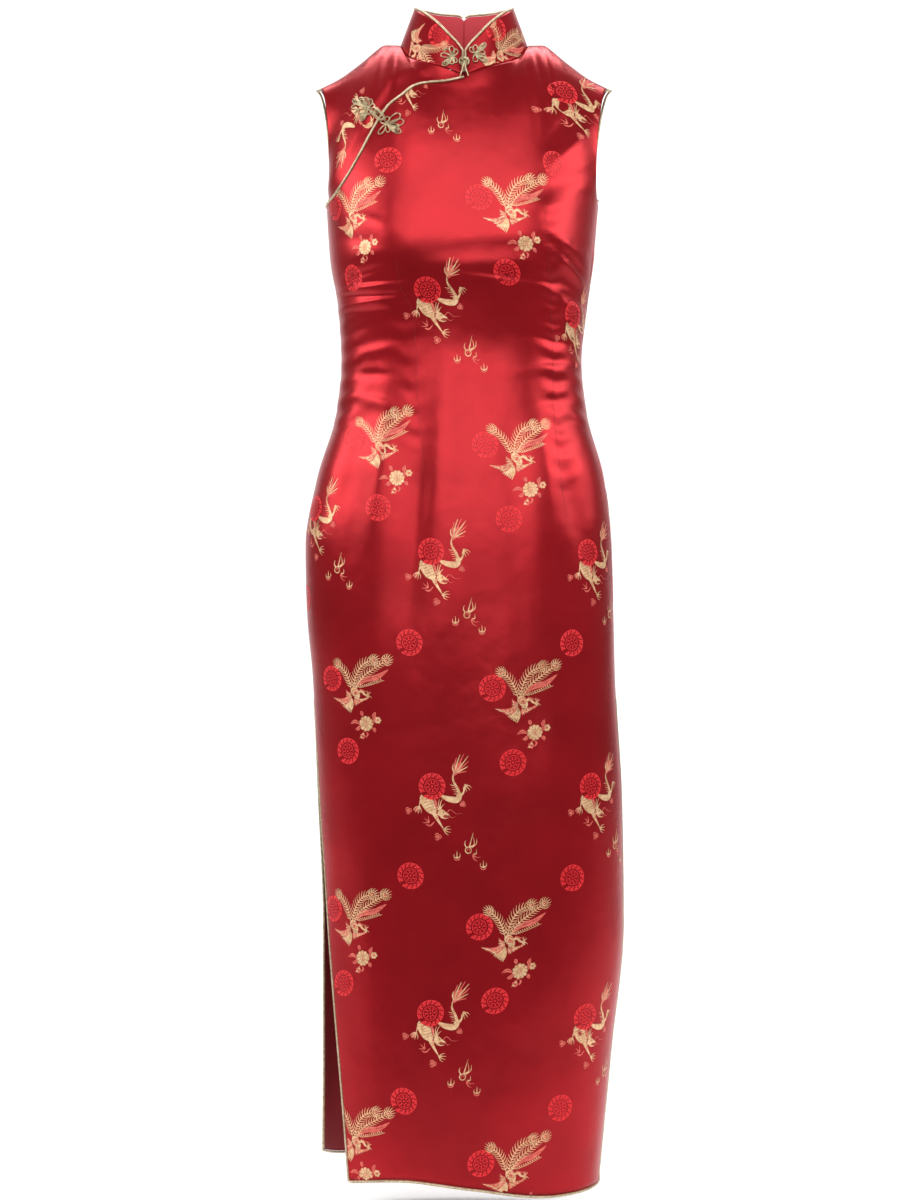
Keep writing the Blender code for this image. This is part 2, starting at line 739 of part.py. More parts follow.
def build_knot(collection, name, centre, material):
    mesh = bpy.data.meshes.new(name)
    ball = bmesh.new()
    bmesh.ops.create_uvsphere(ball, u_segments=10, v_segments=7, radius=KNOT_RADIUS)
    bmesh.ops.translate(ball, verts=ball.verts, vec=centre)
    ball.to_mesh(mesh)
    ball.free()
    mesh.shade_smooth()
    mesh.materials.append(material)
    collection.objects.link(bpy.data.objects.new(name, mesh))


def build_knot_loop(collection, name, centre, length, slope, place, lift, material):
    """The loop that closes round a knot: a long ring, turned to the line of the fastening."""
    turn = math.radians(slope)
    points = []
    for i in range(12):
        angle = math.tau * i / 12
        power = 2 / KNOT_LOOP_SQUARE
        x = length * math.copysign(abs(math.cos(angle)) ** power, math.cos(angle))
        z = KNOT_LOOP_WIDTH * math.copysign(abs(math.sin(angle)) ** power, math.sin(angle))
        points.append(place(
            centre.x + x * math.cos(turn) - z * math.sin(turn),
            centre.z + x * math.sin(turn) + z * math.cos(turn),
            lift,
        ))
    tube(collection, name, points, FROG_RADIUS, True, material)


def build_frogs(collection, material):
    def over_front(x, z, lift):
        return on_front(x, z, lift, False)

    def over_under(x, z, lift):
        return on_front(x, z, lift, True)

    over_piping = PIPING_RADIUS + FROG_RADIUS + SEAM_GAP
    build_flower(collection, CHEST_UPPER, over_under, material)
    build_flower(collection, CHEST_LOWER, over_front, material)
    knot = on_front(CHEST_KNOT.x, CHEST_KNOT.z, KNOT_RADIUS + SEAM_GAP, True)
    build_knot(collection, "chest_frog_knot", knot, material)
    build_knot_loop(
        collection, "chest_frog_loop", CHEST_LOOP, CHEST_LOOP_LENGTH, -47, over_front, over_piping, material
    )
    build_flower(collection, COLLAR_RIGHT, on_collar, material)
    build_flower(collection, COLLAR_LEFT, on_collar, material)
    over_collar = PIPING_RADIUS - COLLAR_CLOTH / 2 + SEAM_GAP
    knot = on_collar(COLLAR_KNOT.x, COLLAR_KNOT.z, KNOT_RADIUS + over_collar)
    build_knot(collection, "collar_frog_knot", knot, material)
    build_knot_loop(
        collection, "collar_frog_loop", COLLAR_KNOT, COLLAR_LOOP_LENGTH, 0, on_collar,
        FROG_RADIUS + over_collar, material,
    )


def build_dress():
    clear_scene()
    collection = bpy.data.collections.new("evening_dress")
    bpy.context.scene.collection.children.link(collection)
    satin = make_material("satin", SATIN)
    lining = make_material("lining", LINING)
    cord = make_material("gold_cord", GOLD_CORD)
    build_front(collection, satin)
    build_under_front(collection, satin)
    build_back(collection, "back_right", -1, satin)
    build_back(collection, "back_left", 1, satin)
    build_collar(collection, "collar_right", -1, lining)
    build_collar(collection, "collar_left", 1, lining)
    build_skirt_pipings(collection, cord)
    build_opening_piping(collection, cord)
    build_armhole_pipings(collection, cord)
    build_collar_pipings(collection, cord)
    build_frogs(collection, cord)


build_dress()
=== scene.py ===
import math

import bmesh
import bpy
import numpy as np
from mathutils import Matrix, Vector, noise


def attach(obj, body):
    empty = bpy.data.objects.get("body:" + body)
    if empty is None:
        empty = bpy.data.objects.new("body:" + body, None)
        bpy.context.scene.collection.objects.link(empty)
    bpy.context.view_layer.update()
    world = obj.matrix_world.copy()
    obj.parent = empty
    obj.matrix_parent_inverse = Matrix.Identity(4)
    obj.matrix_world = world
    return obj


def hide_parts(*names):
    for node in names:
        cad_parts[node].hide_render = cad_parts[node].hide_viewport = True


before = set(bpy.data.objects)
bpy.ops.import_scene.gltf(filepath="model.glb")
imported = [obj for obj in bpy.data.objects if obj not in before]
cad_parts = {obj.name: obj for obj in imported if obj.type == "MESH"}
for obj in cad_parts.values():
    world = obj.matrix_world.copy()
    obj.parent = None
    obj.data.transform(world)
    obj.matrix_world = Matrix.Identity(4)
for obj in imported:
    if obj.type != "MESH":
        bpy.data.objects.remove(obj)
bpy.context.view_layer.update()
print("frame loaded:", len(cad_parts), "nodes")

# camera: the photograph is taken level, a little below the middle of the dress
cameraPlace = {"distance": 2.75, "x": -0.003, "z": -0.664, "lens": 68.75, "farthest": 30.0, "photoWidth": 923,
               "photoHeight": 1200, "metresPerPixel": 0.0012}


def addObject(name, data):
    made = bpy.data.objects.new(name, data)
    bpy.context.scene.collection.objects.link(made)
    return made


def placePiece(piece, nodes=()):
    if nodes:
        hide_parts(*nodes)
    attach(piece, "root")


camera = addObject("camera", bpy.data.cameras.new("camera"))
camera.data.lens = cameraPlace["lens"]
camera.data.clip_end = cameraPlace["farthest"]
camera.location = (cameraPlace["x"], -cameraPlace["distance"], cameraPlace["z"])
camera.rotation_euler = (math.radians(90), 0, 0)
bpy.context.scene.camera = camera

# the form of the dress, as on the solids: heights down it and reach to each side, in front and behind
body = {"hem": -1.345, "slitTop": -0.760, "pipedSlit": -0.782, "closeRows": -0.500, "trimBase": -0.270,
        "armpit": -0.192, "neckShare": 5 / 12, "centreColumn": 0.022, "cloth": 0.0009, "cadCloth": 0.0016,
        "sideInset": 0.00025, "centreBackInset": 0.00045, "shoulderInset": 0.0007, "underGap": 0.0009,
        "underOverlap": 0.015, "underStepFar": 0.035, "armholeClearance": 0.0013, "openingEnd": -0.955,
        "waveHeight": 0.0009, "waveSize": 0.060, "fineWaveHeight": 0.0003, "fineWaveSize": 0.022}
# how the cloth above the armpits leans to the neck and the shoulder seams: facing is 1 in front and -1 behind
faces = {"front": {"facing": 1, "neckRise": 0.046, "lean": 0.013, "scoop": 0.052, "scoopRise": 0.016},
         "back": {"facing": -1, "neckRise": 0.040, "lean": 0.012, "scoop": 0.050, "scoopRise": 0.018}}
upperForm = {"neckOut": 0.016, "neckSideOut": 0.050, "neckSideRise": -0.010, "seamOut": 0.044, "seamRise": -0.008,
             "scoopIn": 0.009, "climb": 0.42, "probe": 0.02}
# rows and columns of the cloth, and points along its edges
grain = {"frontRight": 73, "frontLeft": 70, "skirtRows": 132, "bodiceRows": 152, "topRows": 52, "underRows": 46,
         "backColumns": 60, "backTopRows": 61, "collarNear": 52, "collarFar": 44, "collarRows": 22, "slit": 130,
         "hem": 110, "backHem": 60, "opening": 120, "armhole": 46, "collarEnd": 20, "collarSeam": 24,
         "fullColumns": 121, "fullRows": 241}

sectionNames = ("z", "right", "left", "front", "back", "turn", "leftSeam", "square")
sectionRows = (
    (-1.345, 0.170, 0.1625, 0.100, 0.086, 5, 84, 2.3),
    (-1.200, 0.169, 0.1765, 0.101, 0.090, 5, 85, 2.3),
    (-1.050, 0.169, 0.1910, 0.104, 0.098, 7, 85, 2.3),
    (-0.900, 0.175, 0.189, 0.107, 0.105, 9, 84, 2.3),
    (-0.760, 0.181, 0.181, 0.109, 0.112, 12, 82, 2.3),
    (-0.680, 0.188, 0.179, 0.110, 0.116, 13, 79, 2.3),
    (-0.600, 0.190, 0.177, 0.110, 0.115, 14, 76, 2.3),
    (-0.520, 0.1765, 0.168, 0.106, 0.106, 14, 75, 2.3),
    (-0.440, 0.153, 0.147, 0.100, 0.093, 13, 80, 2.3),
    (-0.380, 0.147, 0.141, 0.098, 0.085, 12, 84, 2.3),
    (-0.320, 0.150, 0.147, 0.106, 0.090, 10, 80, 2.35),
    (-0.260, 0.160, 0.155, 0.121, 0.097, 7, 74, 2.4),
    (-0.192, 0.165, 0.161, 0.117, 0.100, 5, 78, 2.35),
)
slitNames = ("z", "frontRight", "frontLeft", "backRight", "backLeft")  # where the slit edges lie round the section
slitRows = (
    (-1.345, 48.5, 80.0, 93.0, 95.0),
    (-1.270, 52.5, 80.5, 93.0, 95.0),
    (-1.190, 57.5, 81.0, 93.0, 95.0),
    (-1.106, 63.5, 81.5, 93.0, 95.0),
    (-1.020, 70.0, 82.0, 93.0, 95.0),
    (-0.940, 73.0, 81.5, 92.0, 94.0),
    (-0.860, 76.0, 80.0, 92.0, 92.0),
    (-0.782, 84.0, 79.5, 92.5, 87.0),
    (-0.760, 90.0, 82.0, 90.0, 82.0),
)
ringNames = ("angle", "z")
necklineRows = ((0, -0.0500), (22, -0.0390), (52, -0.0255), (90, -0.0015), (135, -0.0100), (180, -0.0140))
collarTopRows = ((0, -0.0225), (7, -0.0125), (16, -0.0025), (35, 0.0170), (60, 0.0335), (90, 0.0440),
                 (135, 0.0500), (172, 0.0505), (180, 0.0465))
seamNames = ("x", "y", "z")
shoulderRows = ((0.0768, 0.0, -0.0015), (0.0960, 0.0, -0.0010), (0.1060, 0.0, -0.0090),
                (0.1270, 0.0005, -0.0250), (0.1490, 0.0010, -0.0400), (0.1740, 0.0020, -0.0520))
openingNames = ("x", "z")  # the piped edge of the front, from the collar to the armpit
openingRows = ((0.0050, -0.0540), (-0.0150, -0.0585), (-0.0390, -0.0620), (-0.0585, -0.0665), (-0.0725, -0.0740),
               (-0.0840, -0.0830), (-0.0930, -0.0960), (-0.1000, -0.1070), (-0.1105, -0.1250), (-0.1200, -0.1435),
               (-0.1365, -0.1710), (-0.1530, -0.1905), (-0.1640, -0.1965), (-0.1720, -0.2000))
hemNames = ("u", "rise")
frontHemRows = ((-1.0, 0.0020), (-0.45, 0.0085), (0.0, 0.0000), (0.5, -0.0120), (1.0, -0.0095))
backHemRows = ((0.0, 0.0040), (0.6, 0.0080), (1.0, 0.0220))
collar = {"halfWidth": 0.0768, "front": 0.0740, "back": 0.0660, "topHalfWidth": 0.0602, "topFront": 0.0620,
          "topBack": 0.0600, "endGap": 0.0036, "cloth": 0.0016, "seamGap": 0.0003}


def hermite(keys, values, tangents, at):
    index = np.clip(np.searchsorted(keys, at, side="right") - 1, 0, len(keys) - 2)
    span = keys[index + 1] - keys[index]
    t = (at - keys[index]) / span
    if values.ndim == 2:
        span, t = span[:, None], t[:, None]
    start = (2 * t**3 - 3 * t**2 + 1) * values[index] + (t**3 - 2 * t**2 + t) * span * tangents[index]
    end = (3 * t**2 - 2 * t**3) * values[index + 1] + (t**3 - t**2) * span * tangents[index + 1]
    return start + end


def smoothCurve(names, rows, key, value, at):
    table = np.array(rows, dtype=float)
    keys = table[:, names.index(key)]
    values = table[:, names.index(value)]
    order = np.argsort(keys)
    keys, values = keys[order], values[order]
    slopes = np.diff(values) / np.diff(keys)
    product = slopes[:-1] * slopes[1:]
    total = slopes[:-1] + slopes[1:]
    inner = np.where(product > 0, 2 * product / np.where(product > 0, total, 1.0), 0.0)
    tangents = np.concatenate([slopes[:1], inner, slopes[-1:]])
    return hermite(keys, values, tangents, np.clip(np.asarray(at, dtype=float), keys[0], keys[-1]))


def smoothStep(low, high, value):
    t = np.clip((value - low) / (high - low), 0.0, 1.0)
    return t * t * (3 - 2 * t)


def mix(a, b, t):
    t = np.asarray(t)[..., None]
    return a * (1 - t) + b * t


def unit(vectors):
    return vectors / np.maximum(np.linalg.norm(vectors, axis=-1, keepdims=True), 1e-12)


def sectionValue(name, z):
    return smoothCurve(sectionNames, sectionRows, "z", name, z)


def sectionPoints(angle, z):
    right, left = sectionValue("right", z), sectionValue("left", z)
    square = sectionValue("square", z)
    sine, cosine = np.sin(np.radians(angle)), np.cos(np.radians(angle))
    depth = np.where(cosine > 0, sectionValue("front", z), sectionValue("back", z))
    stretch = (np.abs(sine) ** square + np.abs(cosine) ** square) ** (-1 / square)
    x = (left - right) / 2 + (right + left) / 2 * sine * stretch
    return np.stack(np.broadcast_arrays(x, -depth * cosine * stretch, z), axis=-1)


def sideAngle(side, z):
    seam = 90.0 + 0 * z if side.endswith("Right") else sectionValue("leftSeam", z)
    return np.where(z < body["slitTop"], smoothCurve(slitNames, slitRows, "z", side, z), seam)


def ringPoints(angle, front, back, halfWidth, rows):
    sine, cosine = np.sin(np.radians(angle)), np.cos(np.radians(angle))
    depth = np.where(cosine > 0, front, back)
    z = smoothCurve(ringNames, rows, "angle", "z", np.abs(angle))
    return np.stack(np.broadcast_arrays(halfWidth * sine, -depth * cosine, z), axis=-1)


def neckPoints(angle):
    return ringPoints(angle, collar["front"], collar["back"], collar["halfWidth"], necklineRows)


def shoulderPoints(along, side, gap):
    x = shoulderRows[0][0] + along * (shoulderRows[-1][0] - shoulderRows[0][0])
    y = smoothCurve(seamNames, shoulderRows, "x", "y", x) + gap
    z = smoothCurve(seamNames, shoulderRows, "x", "z", x)
    return np.stack(np.broadcast_arrays(side * x, y, z), axis=-1)


def upperPoints(angle, edge, arrive, scoop, lean, share):
    start = sectionPoints(angle, body["armpit"] + 0 * angle)
    rise = unit(start - sectionPoints(angle, body["armpit"] - upperForm["probe"] + 0 * angle))
    climb = (edge[..., 2] - body["armpit"])[..., None]
    second = mix(start + rise * climb * upperForm["climb"], start + scoop, lean)
    third = edge - arrive
    t = share[..., None]
    return start * (1 - t) ** 3 + second * 3 * t * (1 - t) ** 2 + third * 3 * t**2 * (1 - t) + edge * t**3


def stacked(*values):
    return np.stack(np.broadcast_arrays(*values), axis=-1)


def facePoints(faceName, u, height, side, angle, neckAngle):
    face, neck = faces[faceName], body["neckShare"]
    facing, across = face["facing"], np.abs(u)
    outward = np.maximum(0.0, (across - neck) / (1 - neck))
    neckward = np.minimum(1.0, across / neck)
    edge = np.where((across < neck)[..., None], neckPoints(neckAngle),
                    shoulderPoints(outward, side, -facing * body["shoulderInset"]))
    overNeck = mix(np.array([0.0, facing * upperForm["neckOut"], face["neckRise"]]),
                   np.array([0.0, facing * upperForm["neckSideOut"], upperForm["neckSideRise"]]),
                   smoothStep(0.3, 1.0, neckward))
    overSeam = stacked(side * face["lean"], facing * upperForm["seamOut"], upperForm["seamRise"])
    arrive = mix(overNeck, overSeam, outward**2)
    scoop = stacked(-side * upperForm["scoopIn"], -facing * face["scoop"], face["scoopRise"])
    share = np.clip((height - body["armpit"]) / -body["armpit"], 0.0, 1.0)
    upper = upperPoints(angle, edge, arrive, scoop, across**3, share)
    lower = sectionPoints(angle, np.minimum(height, body["armpit"]))
    return np.where((height <= body["armpit"])[..., None], lower, upper)


def asPair(u, height):
    return np.broadcast_arrays(np.asarray(u, dtype=float), np.asarray(height, dtype=float))


def frontBase(u, height):
    u, height = asPair(u, height)
    z = np.minimum(height, body["armpit"])
    right, left, turn = sideAngle("frontRight", z), sideAngle("frontLeft", z), sectionValue("turn", z)
    angle = (left + right) / 2 * u + (left - right) / 2 * u * u + turn * (1 - u * u)
    return facePoints("front", u, height, np.where(u < 0, -1.0, 1.0), angle, 90 * u / body["neckShare"])


def backBase(u, height, side):
    u, height = asPair(u, height)
    reach = sideAngle("backLeft" if side > 0 else "backRight", np.minimum(height, body["armpit"]))
    angle = side * (180 - (180 - reach) * u)
    return facePoints("back", u, height, side, angle, side * (180 - 90 * u / body["neckShare"]))


def surfaceNormals(surface, u, height, uLimits):
    probe = 0.0005
    u = np.clip(u, *uLimits)
    height = np.minimum(height, -probe * 2)
    across = surface(u + probe * 4, height) - surface(u - probe * 4, height)
    up = surface(u, height + probe) - surface(u, height - probe)
    return unit(np.cross(across, up))


def frontNormals(u, height):
    return surfaceNormals(frontBase, u, height, (-0.99, 0.99))


def backNormals(u, height, side):
    return -side * surfaceNormals(lambda a, b: backBase(a, b, side), u, height, (0.01, 0.99))


# folds: ridges, or hollows where the height is negative; lean makes the side above a fold steeper than the one below
foldNames = ("x", "z", "slope", "halfLength", "halfWidth", "height", "lean")
frontFoldRows = (
    (-0.078, -0.240, 0, 0.045, 0.045, 0.0070, 0.0),  # the cups
    (0.086, -0.240, 0, 0.045, 0.045, 0.0070, 0.0),
    (0.110, -0.150, 35, 0.055, 0.018, 0.0040, 0.0),
    (-0.110, -0.315, 12, 0.040, 0.016, 0.0030, 0.0),
    (0.120, -0.290, -35, 0.035, 0.016, -0.0030, 0.0),
    (-0.128, -0.560, 82, 0.075, 0.020, -0.0040, 0.0),
    (-0.060, -0.580, 86, 0.110, 0.024, -0.0040, 0.0),
    (-0.030, -0.520, 88, 0.070, 0.022, 0.0030, 0.0),
    (0.085, -0.550, 92, 0.090, 0.026, 0.0030, 0.0),
    (0.050, -1.100, 90, 0.200, 0.030, 0.0030, 0.0),
    (-0.070, -1.150, 90, 0.180, 0.028, -0.0030, 0.0),
    (0.128, -0.128, 48, 0.045, 0.0075, 0.0022, 0.3),  # drag lines from the left armpit
    (0.136, -0.158, 38, 0.042, 0.0070, 0.0022, 0.3),
    (0.128, -0.186, 26, 0.046, 0.0070, 0.0018, 0.3),
    (0.112, -0.115, 58, 0.035, 0.0070, -0.0016, 0.0),
    (0.120, -0.172, 31, 0.040, 0.0060, -0.0015, 0.0),
    (0.110, -0.206, 14, 0.040, 0.0080, 0.0014, 0.2),
    (-0.115, -0.222, -24, 0.035, 0.0080, 0.0014, 0.2),  # from the right armpit
    (-0.122, -0.246, -14, 0.030, 0.0070, -0.0012, 0.0),
    (-0.112, -0.299, 2, 0.036, 0.0040, 0.0024, 0.6),  # creases under the bust
    (-0.118, -0.308, -3, 0.030, 0.0036, -0.0017, 0.0),
    (-0.104, -0.316, 5, 0.038, 0.0042, 0.0019, 0.5),
    (-0.112, -0.327, -2, 0.030, 0.0040, -0.0010, 0.0),
    (-0.118, -0.284, 12, 0.030, 0.0050, -0.0014, 0.0),
    (0.052, -0.297, -6, 0.055, 0.0075, 0.0018, 0.7),
    (0.030, -0.262, 3, 0.090, 0.0110, -0.0022, 0.0),
    (0.122, -0.252, -24, 0.028, 0.0044, 0.0022, 0.5),
    (0.120, -0.266, -34, 0.026, 0.0040, -0.0018, 0.0),
    (0.126, -0.280, -44, 0.028, 0.0044, 0.0018, 0.4),
    (0.120, -0.318, -30, 0.030, 0.0070, 0.0013, 0.3),
    (-0.100, -0.372, 8, 0.035, 0.0070, 0.0012, 0.2),  # pulls at the waist
    (-0.112, -0.400, -5, 0.030, 0.0060, -0.0011, 0.0),
    (-0.104, -0.432, -16, 0.036, 0.0070, 0.0012, 0.2),
    (0.106, -0.360, -8, 0.030, 0.0065, -0.0011, 0.0),
    (0.104, -0.392, 10, 0.032, 0.0065, 0.0012, 0.2),
    (0.110, -0.428, 18, 0.030, 0.0070, -0.0010, 0.0),
    (-0.020, -0.410, 84, 0.080, 0.0160, 0.0014, 0.0),
    (0.034, -0.395, 92, 0.070, 0.0160, -0.0012, 0.0),
    (-0.130, -0.500, 76, 0.070, 0.0110, -0.0022, 0.0),  # long soft folds over the hips
    (-0.100, -0.520, 80, 0.060, 0.0120, 0.0024, 0.0),
    (-0.052, -0.560, 84, 0.090, 0.0120, -0.0016, 0.0),
    (0.058, -0.530, 96, 0.080, 0.0140, -0.0014, 0.0),
    (0.100, -0.530, 100, 0.060, 0.0120, 0.0018, 0.0),
    (0.128, -0.560, 104, 0.060, 0.0120, -0.0018, 0.0),
    (-0.020, -0.690, 88, 0.120, 0.0200, 0.0016, 0.0),
    (0.070, -0.720, 94, 0.120, 0.0220, -0.0014, 0.0),
    (-0.105, -0.760, 88, 0.110, 0.0180, 0.0016, 0.0),
    (-0.012, -0.980, 90, 0.160, 0.0200, -0.0014, 0.0),
    (0.105, -0.960, 92, 0.150, 0.0200, 0.0015, 0.0),
    (-0.110, -1.020, 90, 0.150, 0.0170, 0.0014, 0.0),
    (0.020, -1.240, 90, 0.110, 0.0190, -0.0014, 0.0),
    (0.110, -1.220, 90, 0.120, 0.0180, -0.0013, 0.0),
)
backFoldRows = (
    (-0.070, -0.560, 88, 0.090, 0.026, 0.0030, 0.0),
    (0.075, -0.580, 92, 0.090, 0.026, 0.0030, 0.0),
    (-0.060, -0.340, 8, 0.050, 0.018, -0.0030, 0.0),
    (0.060, -0.350, -8, 0.050, 0.018, -0.0030, 0.0),
    (-0.060, -1.120, 90, 0.180, 0.030, 0.0030, 0.0),
    (0.070, -1.080, 90, 0.180, 0.030, -0.0030, 0.0),
    (-0.090, -0.150, 24, 0.050, 0.010, 0.0016, 0.2),
    (0.095, -0.160, -28, 0.050, 0.010, 0.0016, 0.2),
    (-0.085, -0.250, 10, 0.045, 0.008, -0.0014, 0.0),
    (0.090, -0.260, -12, 0.045, 0.008, -0.0014, 0.0),
    (-0.070, -0.385, -4, 0.045, 0.008, 0.0018, 0.4),
    (0.075, -0.395, 6, 0.045, 0.008, 0.0018, 0.4),
    (-0.080, -0.415, -10, 0.040, 0.007, -0.0014, 0.0),
    (0.080, -0.425, 12, 0.040, 0.007, -0.0014, 0.0),
    (-0.030, -0.640, 88, 0.110, 0.018, -0.0016, 0.0),
    (0.035, -0.660, 92, 0.110, 0.018, 0.0016, 0.0),
    (-0.110, -0.820, 90, 0.130, 0.018, 0.0016, 0.0),
    (0.110, -0.860, 90, 0.130, 0.018, -0.0016, 0.0),
)
# short gathers across the darts and the puckered side seams: from and to (z), how far apart, reach and depth
gatherNames = ("x", "top", "bottom", "xLower", "pitch", "reach", "depth")
gatherRows = (
    (-0.078, -0.285, -0.500, -0.050, 0.0260, 0.016, 0.00055),
    (0.094, -0.185, -0.560, 0.118, 0.0240, 0.015, 0.00055),
    (0.150, -0.300, -0.470, 0.150, 0.0220, 0.026, 0.00080),
    (-0.148, -0.310, -0.470, -0.150, 0.0230, 0.024, 0.00070),
)


def foldLift(rows, points):
    lift = np.zeros(points.shape[:-1])
    for row in rows:
        fold = dict(zip(foldNames, row))
        slope = math.radians(fold["slope"])
        dx, dz = points[..., 0] - fold["x"], points[..., 2] - fold["z"]
        along = (dx * math.cos(slope) + dz * math.sin(slope)) / fold["halfLength"]
        across = (dz * math.cos(slope) - dx * math.sin(slope)) / fold["halfWidth"]
        across = across * (1 + fold["lean"] * np.tanh(2 * across))
        lift += fold["height"] * np.exp(-(along**2) - across**2)
    return lift


def gatherLift(points):
    lift = np.zeros(points.shape[:-1])
    for index, row in enumerate(gatherRows):
        gather = dict(zip(gatherNames, row))
        z = points[..., 2]
        t = (gather["top"] - z) / (gather["top"] - gather["bottom"])
        x = gather["x"] + (gather["xLower"] - gather["x"]) * np.clip(t, 0, 1)
        dx = points[..., 0] - x
        fade = smoothStep(0.0, 0.12, t) * (1 - smoothStep(0.88, 1.0, t))
        phase = math.tau * (z - 0.35 * np.abs(dx)) / gather["pitch"] + 0.9 * np.sin(23 * z + index)
        lift += gather["depth"] * np.sin(phase) * np.exp(-(dx / gather["reach"]) ** 2) * fade
    return lift


def unevenLift(points, size, seed):
    flat = points.reshape(-1, 3)
    scaled = flat * np.array([1 / size, 1 / size, 0.45 / size]) + seed
    values = [noise.noise(Vector(place)) for place in scaled]
    return np.array(values).reshape(points.shape[:-1])


def hemShare(height):
    return smoothStep(0.0, 1.0, (body["slitTop"] - height) / (body["slitTop"] - body["hem"]))


def frontPoints(u, height):
    u, height = asPair(u, height)
    height = height + hemShare(height) * smoothCurve(hemNames, frontHemRows, "u", "rise", u)
    reach = 0.09 * smoothStep(0.0, 0.04, -height) * (1 - smoothStep(0.12, 0.22, -height)) * (1 - np.abs(u) ** 6)
    base = (frontBase(u - reach, height) + 2 * frontBase(u, height) + frontBase(u + reach, height)) / 4
    fade = (1 - np.abs(u) ** 8) * smoothStep(0.0, 0.06, -height)
    lift = foldLift(frontFoldRows, base) + gatherLift(base)
    lift += body["waveHeight"] * unevenLift(base, body["waveSize"], 3.0)
    lift += body["fineWaveHeight"] * unevenLift(base, body["fineWaveSize"], 9.0)
    inset = stacked(0.0, body["sideInset"] * smoothStep(0.9, 1.0, np.abs(u)), 0.0)
    return base + frontNormals(u, height) * (lift * fade)[..., None] - inset


def backPoints(u, height, side):
    u, height = asPair(u, height)
    height = height + hemShare(height) * smoothCurve(hemNames, backHemRows, "u", "rise", u)
    base = backBase(u, height, side)
    fade = (1 - np.abs(u) ** 8) * smoothStep(0.0, 0.06, -height)
    lift = foldLift(backFoldRows, base)
    lift += body["waveHeight"] * unevenLift(base, body["waveSize"], 5.0) * smoothStep(0.0, 0.15, u)
    inset = stacked(side * body["centreBackInset"] * (1 - smoothStep(0.0, 0.1, u)),
                    body["sideInset"] * smoothStep(0.9, 1.0, u), 0.0)
    return base + backNormals(u, height, side) * (lift * fade)[..., None] + inset


def openingHeight(u):
    low = np.full(u.shape, body["trimBase"])
    high = np.zeros(u.shape)
    for _ in range(30):
        middle = (low + high) / 2
        point = frontBase(u, middle)
        under = point[..., 2] < smoothCurve(openingNames, openingRows, "x", "z", point[..., 0])
        low, high = np.where(under, middle, low), np.where(under, high, middle)
    return np.where(u > body["centreColumn"] / 2, 0.0, low)


def underFrontPoints(u, height):
    above = height - openingHeight(u)
    near = 1 - smoothStep(body["underStepFar"] / 3, body["underStepFar"], above)
    return frontPoints(u, height) - frontNormals(u, height) * ((body["cadCloth"] + body["underGap"]) * near)[..., None]


def collarPoints(angle, share):
    bottom = neckPoints(angle) + np.array([0.0, 0.0, collar["seamGap"]])
    top = ringPoints(angle, collar["topFront"], collar["topBack"], collar["topHalfWidth"], collarTopRows)
    return mix(bottom, top, share)


def collarNormals(angle, share):
    across = collarPoints(angle + 0.5, share) - collarPoints(angle - 0.5, share)
    up = collarPoints(angle, share + 0.02) - collarPoints(angle, share - 0.02)
    return unit(np.cross(across, up))


# materials: procedural, on the object's own coordinates or on the cloth's


def newMaterial(name):
    material = bpy.data.materials.new(name)
    material.use_nodes = True
    tree = material.node_tree
    tree.nodes.clear()
    output = tree.nodes.new("ShaderNodeOutputMaterial")
    shader = tree.nodes.new("ShaderNodeBsdfPrincipled")
    tree.links.new(shader.outputs["BSDF"], output.inputs["Surface"])
    return material, tree, shader


def addNode(tree, kind, settings=None, inputs=None):
    node = tree.nodes.new(kind)
    for key, value in (settings or {}).items():
        setattr(node, key, value)
    for key, value in (inputs or {}).items():
        if isinstance(value, bpy.types.NodeSocket):
            tree.links.new(value, node.inputs[key])
        else:
            node.inputs[key].default_value = value
    return node


def setShader(shader, values):
    for key, value in values.items():
        shader.inputs[key].default_value = value


def colourRamp(tree, factor, stops):
    ramp = addNode(tree, "ShaderNodeValToRGB", inputs={"Fac": factor})
    elements = ramp.color_ramp.elements
    while len(elements) < len(stops):
        elements.new(0.5)
    for element, (position, colour) in zip(elements, stops):
        element.position = position
        element.color = (*colour, 1.0)
    return ramp


satin = {"shade": (0.36, 0.005, 0.010), "tone": (0.45, 0.007, 0.014), "roughness": 0.25, "metallic": 0.62,
         "threads": 620.0, "anisotropic": 0.6}


